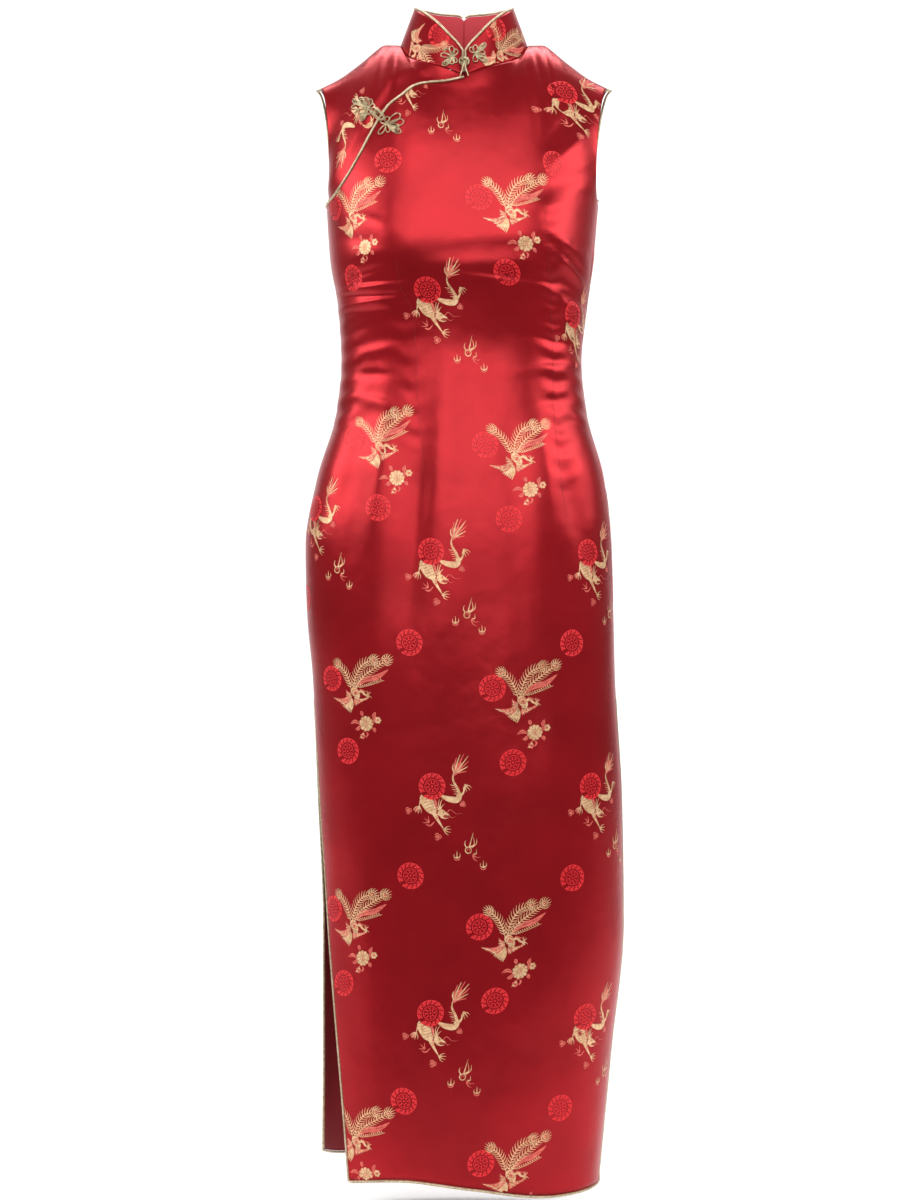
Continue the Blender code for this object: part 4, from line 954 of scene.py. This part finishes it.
def drawDragon(sheet):
    # tail tuft and the thin end of the body
    stroke(sheet, [(13.5, 25), (15.5, 31), (19.5, 38)], 7.0, "salmon", "leaf", 8)
    for i, tip in enumerate(((12, 36), (15, 42.5), (18.3, 45), (22, 45.8), (26, 43.5), (27, 39), (26, 33.5), (25, 29))):
        bend = (13.6 + 0.62 * (tip[0] - 13.6) - 1.2, 27 + 0.5 * (tip[1] - 27))
        stroke(sheet, [(13.6, 27), bend, tip], 1.25, "salmon" if i % 2 else "gold", "brush", 6, 1)
    stroke(sheet, [(12.5, 28), (12, 21), (16, 13), (19, 6)], 3.4, "gold", "swell", 12)
    stroke(sheet, [(19, 8), (17, 2), (9, 2), (1, 5)], 6.2, "gold", "brush", 12)
    for i in range(7):
        x, y = 12.5 + 0.9 * i, 22 - 2.4 * i
        arc(sheet, x, y, 0.9 + 0.1 * i, 60, 210, 0.3, "ground", pieces=4, level=2)
    for i in range(6):
        arc(sheet, 15.5 - 2.2 * i, 3.2 + 0.4 * i, 1.3, 0, 170, 0.3, "ground", pieces=4, level=2)
    for i in range(5):
        stroke(sheet, [(13 + i, 15 - 2 * i), (9 + i, 16 - 2.2 * i)], 0.9, "salmon" if i % 2 else "gold", "taper", 3, 1)
    # chest with rows of scales, belly plates, neck
    stroke(sheet, [(-17, 6), (-13, 0), (-9, -7), (-4, -12)], 12.0, "gold", "brush", 12)
    for row in range(6):
        for place in range(4):
            x, y = -17.0 + 2.5 * place + 1.3 * row, 4.0 - 2.6 * row + 0.9 * place
            arc(sheet, x, y, 1.15, 200, 350, 0.32, "ground", pieces=4, level=2)
    stroke(sheet, [(-7, 4), (-4, -2), (-3, -9)], 2.4, "salmon", "leaf", 8, 2)
    # head: brow, jaw, eye, horn, mane and whiskers
    dot(sheet, 1.5, -11.5, 3.6, "gold", 3, 12)
    stroke(sheet, [(2, -10), (6.5, -12.4), (9.5, -13.4)], 4.0, "gold", "taper", 6, 3)
    stroke(sheet, [(1, -15), (5, -16.6), (8.6, -16.0)], 2.0, "gold", "taper", 5, 3)
    dot(sheet, 3.6, -10.6, 0.75, "ground", 4, 8)
    dot(sheet, 3.6, -10.6, 0.35, "gold", 5, 6)
    stroke(sheet, [(3.2, -14.1), (6.4, -14.6), (9.2, -14.4)], 0.7, "salmon", "taper", 4, 4)
    for turn, reach in ((58, 7.5), (80, 11.5), (96, 11.0), (122, 7.0), (150, 5.5)):
        stroke(sheet, [(0.5, -9), polar(0.5, -9, reach * 0.6, turn + 10), polar(0.5, -9, reach, turn)], 1.2, "gold",
               "taper", 5, 2)
    for i in range(5):
        stroke(sheet, [(-1.5, -12 - i), (-4.2, -12.6 - 1.3 * i)], 1.0, "gold" if i % 2 else "salmon", "taper", 3, 3)
    stroke(sheet, [(7, -11), (10, -8), (16, -12), (22, -11.5)], 0.75, "salmon", "taper", 12, 1)
    stroke(sheet, [(9, -14), (12, -16), (15, -14.5)], 0.65, "salmon", "taper", 6, 1)
    # limbs with four claws
    stroke(sheet, [(-6, -11), (-2, -18), (4, -27)], 4.2, "gold", "taper", 8, 1)
    claw(sheet, 4.5, -27.5, -8, 6.2, "gold")
    stroke(sheet, [(-14, 5), (-18, 1), (-20, -6)], 3.2, "gold", "taper", 7, 1)
    claw(sheet, -20, -6.5, -110, 6.0, "gold")
    stroke(sheet, [(18, 4), (22, 8), (24, 15)], 3.0, "gold", "taper", 7, 1)
    claw(sheet, 24, 15.5, -60, 6.0, "gold")
    for turn in (100, 140, 185):
        stroke(sheet, [(-10, -21), polar(-10, -21, 6.5, turn)], 1.3, "salmon", "taper", 4)
    stroke(sheet, [(-13, -23), (-9, -24), (-5, -20)], 1.6, "salmon", "brush", 5)
    cloudlet(sheet, -29, -10.5, 2.8, 10)
    cloudlet(sheet, -23.5, -9, 2.4, 190)
    cloudlet(sheet, 0, -34.5, 3.0, 0)
    cloudlet(sheet, 21, -3, 2.4, 200)


def drawPearl(sheet):
    arc(sheet, 0, 0, 3.0, 0, 360, 0.9, "gold", pieces=14)
    arc(sheet, 0.2, -0.1, 1.4, -40, 220, 0.6, "salmon", pieces=8)
    for root, bend, tip in (((1.5, 3), (5.5, 5.5), (4.6, 13)), ((1, 3.2), (2.2, 8), (4.5, 17)),
                            ((3, 2.6), (7.5, 6), (8.0, 11.5)), ((-2, 2.6), (-3.6, 6), (-2.6, 9.5)),
                            ((4, -4), (8, -7), (12, -6.5)), ((4, -5), (6, -9), (9.5, -11)),
                            ((5, -3.5), (7.4, -3.6), (7.6, 1.0))):
        stroke(sheet, [root, bend, tip], 1.25, "gold" if tip[1] > 0 else "salmon", "taper", 6)
    for x, y in ((-11, -8), (14.5, -17)):
        for lean, reach in ((-3.2, 4.5), (0.0, 7.0), (3.4, 5.2)):
            stroke(sheet, [(x, y), (x + lean * 0.9, y + reach * 0.4), (x + lean * 0.8, y + reach)], 1.2, "gold",
                   "taper", 5)
        arc(sheet, x, y + 1.2, 3.0, 200, 340, 1.0, "salmon", pieces=6)


drawings = {}
for drawName, draw in (("phoenix", drawPhoenix), ("spray", drawSpray), ("medallion", drawMedallion),
                       ("dragon", drawDragon), ("pearl", drawPearl)):
    sheetMesh = bmesh.new()
    draw(sheetMesh)
    flatMesh = bpy.data.meshes.new("drawn_" + drawName)
    sheetMesh.to_mesh(flatMesh)
    sheetMesh.free()
    drawings[drawName] = flatMesh
    print("drawn", drawName, len(flatMesh.polygons), "faces")

groups = {
    "phoenix": (("medallion", -28, 14), ("phoenix", 0, 0), ("spray", 14, -30), ("medallion", -7, -58)),
    "dragon": (("medallion", -8, 14), ("dragon", 0, 0), ("pearl", 28, -47), ("medallion", -28, -74)),
    "taken in": (("medallion", -8, 14), ("dragon", 0, 0), ("pearl", 28, -47)),
    "armhole dragon": (("medallion", -8, 14), ("dragon", 0, 0)),
    "lone dragon": (("dragon", 0, 0),),
    "flame": (("pearl", 0, 0),),
    "bird": (("phoenix", 0, 0),),
    "disc": (("medallion", 0, 0),),
}


def layMotif(target, flatLayer, panel, drawName, s, t, levels, turn, stretch):
    before = len(target.verts)
    target.from_mesh(drawings[drawName])
    target.verts.ensure_lookup_table()
    fresh = target.verts[before:]
    flat = np.array([vert.co[:] for vert in fresh])
    lift = motif["lift"] + (flat[:, 2] + levels) * motif["levelStep"]
    x, y = turned(flat[:, 0], flat[:, 1], turn)
    s, t = s + x * motif["unit"] * stretch, t + y * motif["unit"]
    places, inside = layOn(panel, s, t, lift)
    for vert, place, across, up in zip(fresh, places, s, t):
        vert.co = place
        vert[flatLayer] = (across, up, 0.0)
    return [vert for vert, kept in zip(fresh, inside) if not kept]


def brocade(name, panel, rows, byPixel=True):
    woven = bmesh.new()
    flatLayer = woven.verts.layers.float_vector.new("flat")
    outside = []
    for kind, across, up, degrees, stretch in rows:
        turn = math.radians(degrees)
        s, t = flatAtPixel(panel, across, up) if byPixel else (across, up)
        s, t = float(np.ravel(s)[0]), float(np.ravel(t)[0])
        holdsDragon = "dragon" in [entry[0] for entry in groups[kind]]
        for order, (drawName, dx, dy) in enumerate(groups[kind]):
            raised = holdsDragon and drawName == "medallion" and order == 0
            x, y = turned(dx, dy, turn)
            outside += layMotif(woven, flatLayer, panel, drawName, s + x * motif["unit"] * stretch,
                                t + y * motif["unit"], motif["overDragon"] if raised else 0, turn, stretch)
    bmesh.ops.delete(woven, geom=outside, context="VERTS")
    mesh = bpy.data.meshes.new(name)
    woven.to_mesh(mesh)
    woven.free()
    flat = np.empty(len(mesh.vertices) * 3)
    mesh.attributes["flat"].data.foreach_get("vector", flat)
    corners = np.empty(len(mesh.loops), dtype=int)
    mesh.loops.foreach_get("vertex_index", corners)
    mesh.uv_layers.new(name="cloth").data.foreach_set("uv", flat.reshape(-1, 3)[corners, :2].ravel())
    mesh.shade_smooth()
    for paint in (goldThread, salmonThread, redThread, satinRed):
        mesh.materials.append(paint)
    placePiece(addObject(name, mesh))


# where the motifs lie on the front, as pixels of the photograph: the bird's body, the dragon's middle
frontMotifs = (
    ("phoenix", 509, 212, 0, 1.0), ("phoenix", 515, 459, 0, 1.0), ("phoenix", 521, 702, 0, 1.0),
    ("phoenix", 508, 941, 0, 1.0), ("phoenix", 509, 1176, 0, 1.0), ("phoenix", 352, 218, 0, 1.0),
    ("phoenix", 379, 448, 4, 1.0), ("phoenix", 354, 693, 0, 1.0), ("phoenix", 353, 926, 0, 1.0),
    ("phoenix", 355, 1142, 0, 1.0), ("lone dragon", 411, 84, 0, 1.0), ("flame", 441, 125, 0, 1.0),
    ("disc", 388, 160, 0, 1.1), ("taken in", 437, 304, 0, 1.0), ("dragon", 439, 566, 0, 1.0),
    ("dragon", 440, 801, 0, 1.0), ("dragon", 437, 1028, 0, 1.0), ("armhole dragon", 575, 106, -6, 1.7),
    ("disc", 553, 163, 20, 0.8), ("taken in", 577, 330, 0, 1.0), ("dragon", 594, 567, 0, 1.0),
    ("dragon", 597, 800, 0, 1.0), ("dragon", 590, 1030, 0, 1.0), ("dragon", 318, 522, 0, 1.0),
)
brocade("front_brocade", frontPanel, frontMotifs)
brocade("under_front_brocade", underPanel, (("lone dragon", 356, 122, 182, 1.0),))
# the backs repeat the front's motifs, in metres across from the centre seam and up from the front's trimmed rows
repeat = {"across": 0.180, "up": 0.288, "first": 0.045, "base": -1.02, "columns": 3, "rows": 5, "near": -0.04,
          "far": 0.31}
collarMotifs = {"right": (("bird", 417, 47, -108, 1.0), ("disc", 439, 35, 0, 1.0)),
                "left": (("bird", 499, 56, -38, 1.0), ("disc", 496, 29, 0, 1.0))}
for sideName, side in sides:
    rows = []
    for column in range(-repeat["columns"], repeat["columns"]):
        for row in range(repeat["rows"] + 1):
            s = repeat["first"] + column * repeat["across"]
            t = repeat["base"] + row * repeat["up"]
            for kind, ds, dt in (("phoenix", 0.0, 0.0), ("dragon", repeat["across"] / 2, repeat["up"] / 2)):
                if repeat["near"] < -side * (s + ds) < repeat["far"]:
                    rows.append((kind, s + ds, t + dt, 0, 1.0))
    brocade("back_brocade_" + sideName, backPanels[side], rows, byPixel=False)
for sideName, side in sides:
    brocade("collar_brocade_" + sideName, collarPanels[side], collarMotifs[sideName])
print("brocade laid")

# gold trims: bound edges and frogs, as fine tubes of metallic cloth
trim = {"piping": 0.00145, "openingPiping": 0.001537, "armholePiping": 0.0015225, "gap": 0.0003, "cord": 0.00072,
        "knotCord": 0.0010925, "endCord": 0.000792, "seam": 0.0007, "tuck": 0.00116, "tuckSteep": 5,
        "armholeSpacing": 0.004, "seamSpacing": 0.01}


def cordPiece(name, lines, radius, closed, paint, nodes=(), resolution=3):
    data = bpy.data.curves.new(name, "CURVE")
    data.dimensions = "3D"
    data.bevel_depth = radius
    data.bevel_resolution = resolution
    data.use_fill_caps = True
    for line in lines:
        spline = data.splines.new("POLY")
        spline.points.add(len(line) - 1)
        spline.points.foreach_set("co", np.column_stack([line, np.ones(len(line))]).ravel())
        spline.use_cyclic_u = closed
        spline.use_smooth = True
    data.materials.append(paint)
    placePiece(addObject(name, data), nodes)


def besideEdge(edge, normals, side, distance, inset, closed=False):
    if closed:
        runs = unit(np.roll(edge, -1, axis=0) - np.roll(edge, 1, axis=0))
    else:
        runs = unit(np.gradient(edge, axis=0))
    out = unit(np.cross(runs, normals)) * side
    return edge + out * distance - normals * inset


def evenLine(points, spacing, closed=False):
    ring = np.vstack([points, points[:1]]) if closed else points
    lengths = np.concatenate([[0.0], np.cumsum(np.linalg.norm(np.diff(ring, axis=0), axis=1))])
    count = max(4, int(round(lengths[-1] / spacing)))
    at = np.linspace(0, lengths[-1], count + 1)
    even = np.column_stack([np.interp(at, lengths, ring[:, axis]) for axis in range(3)])
    return even[:-1] if closed else even


def besideGap(edge, normals, side, inset):
    return besideEdge(edge, normals, side, trim["piping"] + trim["gap"], inset)


def binding(name, line, radius, node, closed=False):
    cordPiece(name, [line], radius, closed, goldCloth, [node])


slitHeights = np.linspace(body["pipedSlit"], body["hem"], grain["slit"])
slitU = np.ones(grain["slit"])
hemU = np.linspace(-1, 1, grain["hem"])[1:-1]
edgeU = np.concatenate([-slitU, hemU, slitU])
edgeHeights = np.concatenate([slitHeights, np.full(len(hemU), body["hem"]), slitHeights[::-1]])
line = besideGap(frontPoints(edgeU, edgeHeights), frontNormals(edgeU, edgeHeights), 1, body["cadCloth"] / 2)
binding("front_edge_binding", line, trim["piping"], "front_edge_piping")
for sideName, side in sides:
    hemU = np.linspace(0, 1, grain["backHem"])[:-1]
    edgeU = np.concatenate([hemU, slitU])
    edgeHeights = np.concatenate([np.full(len(hemU), body["hem"]), slitHeights[::-1]])
    line = besideGap(backPoints(edgeU, edgeHeights, side), backNormals(edgeU, edgeHeights, side), -side,
                     body["cadCloth"] / 2)
    line[0, 0] += side * trim["gap"]
    binding("back_edge_binding_" + sideName, line, trim["piping"], "back_edge_piping_" + sideName)

openingU = np.linspace(body["openingEnd"], 0.0, grain["opening"])
openingHeights = openingHeight(openingU)
line = besideGap(frontPoints(openingU, openingHeights), frontNormals(openingU, openingHeights), -1, 0.0)
binding("opening_binding", line, trim["openingPiping"], "opening_piping")

# on its front half an armhole's binding is turned in behind the edge
armShare = np.linspace(0, 1, grain["armhole"])
for sideName, side in sides:
    heights = body["armpit"] * (1 - armShare)
    behind = heights[::-1][1:-1]
    frontU, backU = np.full(len(heights), float(side)), np.ones(len(behind))
    edge = np.vstack([frontPoints(frontU, heights), backPoints(backU, behind, side)])
    normals = np.vstack([frontNormals(frontU, heights), backNormals(backU, behind, side)])
    tucked = np.concatenate([np.minimum(1, trim["tuckSteep"] * np.sin(math.pi * armShare)),
                             np.zeros(len(behind))])[:, None]
    line = besideEdge(edge, normals, side,
                      (1 - tucked) * (trim["piping"] + body["armholeClearance"]) - tucked * trim["tuck"],
                      tucked * (body["cloth"] + trim["piping"] + trim["gap"]), closed=True)
    binding("armhole_binding_" + sideName, evenLine(line, trim["armholeSpacing"], True), trim["armholePiping"],
            "armhole_piping_" + sideName, closed=True)

for sideName, side in sides:
    angles = np.concatenate([np.full(grain["collarEnd"], collarFirst), collarAngles[1:-1]]) * side
    shares = np.concatenate([np.linspace(0.08, 1.0, grain["collarEnd"]), np.ones(len(collarAngles) - 2)])
    line = besideGap(collarPoints(angles, shares), collarNormals(angles, shares), -side, collar["cloth"] / 2)
    binding("collar_binding_" + sideName, line, trim["piping"], "collar_piping_" + sideName)

# cords that close the two seams at the centre back; their dark colour is painted shade of the seam grooves
seamShares = np.linspace(0.0, 0.985, grain["collarSeam"])
seamAngles = np.full(grain["collarSeam"], 180.0)
line = collarPoints(seamAngles, seamShares) - collarNormals(seamAngles, seamShares) * collar["cloth"] / 2
cordPiece("collar_back_seam_painted_shade", [line], trim["seam"], False, seamShadeThread)
line = (backPoints(0.0, backHeights, -1) + backPoints(0.0, backHeights, 1)) / 2
line[:, 1] -= body["cloth"] / 2
cordPiece("centre_back_seam_painted_shade", [evenLine(line, trim["seamSpacing"])], trim["seam"], False, seamShadeThread)
print("bindings made")

# frogs: looped flowers of cord either side of a wrapped knot; a petal of several rings reads as a solid leaf
petalNames = ("angle", "length", "width", "rings")
petalSide = ((0.10, 0.05), (0.35, 0.36), (0.66, 0.52), (0.90, 0.40), (1.0, 0.0), (0.90, -0.40), (0.66, -0.52),
             (0.35, -0.36), (0.10, -0.05))
frogs = {
    "chest_frog_flower_upper": {"x": -0.1125, "z": -0.0885, "under": True, "petals": (
        (75, 0.0120, 0.0060, 1), (100, 0.0135, 0.0066, 1), (128, 0.0165, 0.0075, 2), (148, 0.0215, 0.0055, 3),
        (172, 0.0190, 0.0052, 1), (203, 0.0160, 0.0048, 1), (240, 0.0175, 0.0056, 3), (275, 0.0080, 0.0045, 1),
        (30, 0.0085, 0.0045, 1))},
    "chest_frog_flower_lower": {"x": -0.0895, "z": -0.1095, "under": False, "petals": (
        (4, 0.0190, 0.0080, 1), (36, 0.0185, 0.0078, 1), (80, 0.0090, 0.0048, 1), (150, 0.0085, 0.0048, 1),
        (238, 0.0165, 0.0050, 1), (282, 0.0110, 0.0046, 1), (322, 0.0200, 0.0062, 3), (342, 0.0150, 0.0046, 1))},
    "collar_frog_flower_right": {"x": -0.0125, "z": -0.0285, "under": False, "petals": (
        (70, 0.0100, 0.0050, 1), (102, 0.0130, 0.0052, 1), (135, 0.0140, 0.0056, 1), (168, 0.0150, 0.0050, 1),
        (222, 0.0165, 0.0054, 3), (258, 0.0095, 0.0044, 1), (292, 0.0080, 0.0046, 1))},
    "collar_frog_flower_left": {"x": 0.0125, "z": -0.0255, "under": False, "petals": (
        (48, 0.0190, 0.0052, 3), (84, 0.0110, 0.0050, 1), (118, 0.0100, 0.0048, 1), (15, 0.0120, 0.0048, 1),
        (276, 0.0100, 0.0052, 1), (330, 0.0175, 0.0056, 2), (352, 0.0125, 0.0044, 1))},
}
knots = {"chest": {"x": -0.1036, "z": -0.0943, "size": (0.0031, 0.0031), "lift": 0.0030},
         "collar": {"x": 0.0002, "z": -0.0345, "size": (0.0046, 0.0030), "lift": 0.0036}}
knotForm = {"span": 3.2, "depth": 0.0014}
loops = {"chest": {"x": -0.0998, "z": -0.0984, "length": 0.0100, "width": 0.0047, "slope": -47, "lift": 0.0028},
         "collar": {"x": 0.0002, "z": -0.0345, "length": 0.0060, "width": 0.0047, "slope": 0, "lift": 0.0018}}


# where a point seen from in front at x, z lies on a surface
def seenPlace(surface, normalsOf, start, steps, x, z):
    a, b = np.full(x.shape, start[0]), np.full(x.shape, start[1])
    stepA, stepB = steps
    for _ in range(18):
        here = surface(a, b)
        byA = (surface(a + stepA, b) - here) / stepA
        byB = (surface(a, b + stepB) - here) / stepB
        determinant = byA[:, 0] * byB[:, 2] - byB[:, 0] * byA[:, 2]
        dx, dz = x - here[:, 0], z - here[:, 2]
        a = a + (dx * byB[:, 2] - byB[:, 0] * dz) / determinant
        b = b + (byA[:, 0] * dz - dx * byA[:, 2]) / determinant
    return a, b, normalsOf(a, b)


def onChest(x, z, lift, under):
    u, height, normals = seenPlace(frontBase, frontNormals, (-0.6, -0.11), (0.002, 0.001), x, z)
    places = underFrontPoints(u, height) if under else frontPoints(u, height)
    return places + normals * lift[:, None]


def onCollar(x, z, lift):
    start = (8.0 if x.mean() > 0 else -8.0, 0.5)
    angle, share, normals = seenPlace(collarPoints, collarNormals, start, (0.2, 0.01), x, z)
    return collarPoints(angle, share) + normals * lift[:, None]


def onPlace(place, x, z, lift, under=False):
    return onChest(x, z, lift, under) if place == "chest" else onCollar(x, z, lift)


def frogCord(name, lines, radius, node):
    cordPiece(name, lines, radius, True, goldCord, [node])


def closedSmooth(corners, count):
    ring = np.vstack([corners[-3:], corners, corners[:3]])
    keys = np.concatenate([[0.0], np.cumsum(np.sqrt(np.linalg.norm(np.diff(ring, axis=0), axis=1) + 1e-12))])
    at = np.linspace(keys[3], keys[-3], count + 1)[:-1]
    return hermite(keys, ring, np.gradient(ring, keys, axis=0), at)


def petalLines(petal, order):
    angle = math.radians(petal["angle"])
    lines = []
    for ring in range(petal["rings"]):
        reach, narrow = 1 - 0.17 * ring, 1 - 0.42 * ring
        start = 0.10 * ring
        corners = np.array([(start + along * (reach - start), across * narrow) for along, across in petalSide])
        flat = closedSmooth(corners * np.array([petal["length"], petal["width"]]), 34)
        x, z = turned(flat[:, 0], flat[:, 1], angle)
        near = 1 - np.clip(flat[:, 0] / 0.005, 0, 1)
        curl = 0.0012 * (flat[:, 0] / petal["length"]) ** 3 * (order % 3 == 1)
        lines.append((x, z, trim["cord"] + 0.0002 + 0.0006 * near * (1 + order % 3) + curl + 0.0004 * ring))
    return lines


for frogName, frog in frogs.items():
    lines = []
    for order, row in enumerate(frog["petals"]):
        for x, z, lift in petalLines(dict(zip(petalNames, row)), order):
            lines.append(onPlace(frogName.split("_")[0], frog["x"] + x, frog["z"] + z, lift, frog["under"]))
    frogCord(frogName + "_cord", lines, trim["cord"], frogName)

for place, knot in knots.items():
    t = np.linspace(0, math.tau, 73)[:-1]
    loopX, loopZ, loopY = np.sin(t) + 2 * np.sin(2 * t), np.cos(t) - 2 * np.cos(2 * t), -np.sin(3 * t)
    x = knot["x"] + knot["size"][0] * loopX / knotForm["span"]
    z = knot["z"] + knot["size"][1] * loopZ / knotForm["span"]
    line = onPlace(place, x, z, knot["lift"] + knotForm["depth"] * loopY, under=True)
    frogCord(place + "_frog_knot_cord", [line], trim["knotCord"], place + "_frog_knot")

for place, loop in loops.items():
    lines = []
    for grow, rise in ((1.0, 0.0), (0.62, 0.0009)):
        angle = np.linspace(0, math.tau, 49)[:-1]
        x = loop["length"] * np.sign(np.cos(angle)) * np.abs(np.cos(angle)) ** 0.6
        z = loop["width"] * grow * np.sign(np.sin(angle)) * np.abs(np.sin(angle)) ** 0.6
        x, z = turned(x, z, math.radians(loop["slope"]))
        x, z = loop["x"] + x, loop["z"] + z
        lift = np.full(len(x), loop["lift"] + rise + trim["cord"])
        lines.append(onPlace(place, x, z, lift))
    frogCord(place + "_frog_loop_cord", lines, trim["cord"], place + "_frog_loop")

# the two ends of the collar fastening hang from its knot as a small upturned V
end = {"x": 0.0002, "y": -0.0775, "z": -0.0375, "apart": 0.0006, "spread": 0.0042, "length": 0.0150,
       "inward": 0.0006}
t = np.linspace(0, 1, 12)
ends = [np.column_stack([end["x"] + side * (end["apart"] + end["spread"] * t**1.3), end["y"] + end["inward"] * t,
                         end["z"] - end["length"] * t]) for sideName, side in sides]
cordPiece("collar_frog_ends", ends, trim["endCord"], False, goldCord)
print("frogs made")

# fine stitches along the darts, which are given as pixels of the photograph; their dark colour is painted shade of the
# dart creases
darts = {"waist right": ((397, 262), (400, 285), (412, 312), (416, 350), (417, 391), (420, 430), (424, 472)),
         "bust left": ((541, 186), (548, 235), (551, 300), (553, 360), (553, 400), (557, 445), (562, 485),
                       (567, 518))}
stitch = {"length": 0.0021, "gap": 0.0012, "radius": 0.00021, "arch": (-0.0001, 0.00022, 0.00022, -0.0001)}
stitchLines = []
for pixels in darts.values():
    flat = np.array([[float(np.ravel(value)[0]) for value in flatAtPixel(frontPanel, *pixel)] for pixel in pixels])
    path = smoothLine(flat, 400)
    run = np.concatenate([[0.0], np.cumsum(np.linalg.norm(np.diff(path, axis=0), axis=1))])
    for start in np.arange(0, run[-1] - stitch["length"], stitch["length"] + stitch["gap"]):
        at = np.linspace(start, start + stitch["length"], len(stitch["arch"]))
        s, t = np.interp(at, run, path[:, 0]), np.interp(at, run, path[:, 1])
        places, inside = layOn(frontPanel, s, t, np.array(stitch["arch"]))
        stitchLines.append(places)
cordPiece("dart_stitches_painted_shade", stitchLines, stitch["radius"], False, seamShadeThread, resolution=1)
print("stitches made:", len(stitchLines))

# room: a pale sweep and soft light, the largest lamp high in front
floorPlace = {"z": -1.40, "back": 4.3, "front": -0.6, "halfWidth": 4.5, "height": 4.2, "bend": 1.0}
sweep = bmesh.new()
profile = [(floorPlace["front"], 0.0), (floorPlace["back"] - floorPlace["bend"], 0.0)]
for step in range(1, 9):
    turn = math.radians(90 * step / 8)
    profile.append((floorPlace["back"] - floorPlace["bend"] * (1 - math.sin(turn)),
                    floorPlace["bend"] * (1 - math.cos(turn))))
profile.append((floorPlace["back"], floorPlace["height"]))
bmesh.ops.create_grid(sweep, x_segments=1, y_segments=len(profile) - 1, size=0.5)
for vert in sweep.verts:
    y, z = profile[round((vert.co.y + 0.5) * (len(profile) - 1))]
    vert.co = (math.copysign(floorPlace["halfWidth"], vert.co.x), y, floorPlace["z"] + z)
sweepMesh = bpy.data.meshes.new("sweep")
sweep.to_mesh(sweepMesh)
sweep.free()
sweepMesh.shade_smooth()
sweepPaint, sweepTree, sweepShader = newMaterial("pale paper")
setShader(sweepShader, {"Base Color": (0.93, 0.93, 0.93, 1.0), "Roughness": 0.9})
sweepMesh.materials.append(sweepPaint)
addObject("paper_sweep", sweepMesh)

lampNames = ("x", "y", "z", "aimX", "aimY", "aimZ", "width", "height", "power")
lamps = {
    "key": (0.0, -3.0, 1.00, 0.0, 0.0, -0.40, 3.2, 3.1, 80.0),
    "left fill": (-1.9, -0.6, 0.30, 0.0, 0.0, -0.10, 1.7, 0.9, 21.0),
    "right fill": (1.9, -0.6, 0.30, 0.0, 0.0, -0.10, 1.7, 0.9, 19.0),
    "backdrop": (0.0, 1.7, 2.5, 0.0, 4.3, -0.3, 3.6, 1.0, 105.0),
    "floor behind": (0.0, 1.0, 2.4, 0.0, 1.6, -1.4, 3.0, 0.8, 60.0),
}
for lampName, row in lamps.items():
    lamp = dict(zip(lampNames, row))
    light = bpy.data.lights.new(lampName, "AREA")
    light.shape = "RECTANGLE"
    light.size, light.size_y = lamp["width"], lamp["height"]
    light.energy = lamp["power"]
    holder = addObject(lampName, light)
    holder.location = (lamp["x"], lamp["y"], lamp["z"])
    aim = Vector((lamp["aimX"], lamp["aimY"], lamp["aimZ"])) - holder.location
    holder.rotation_euler = aim.to_track_quat("-Z", "Y").to_euler()
world = bpy.data.worlds.new("room")
world.use_nodes = True
setShader(world.node_tree.nodes["Background"], {"Color": (1.0, 1.0, 1.0, 1.0), "Strength": 0.25})
bpy.context.scene.world = world
bpy.context.scene.view_settings.view_transform = "Standard"
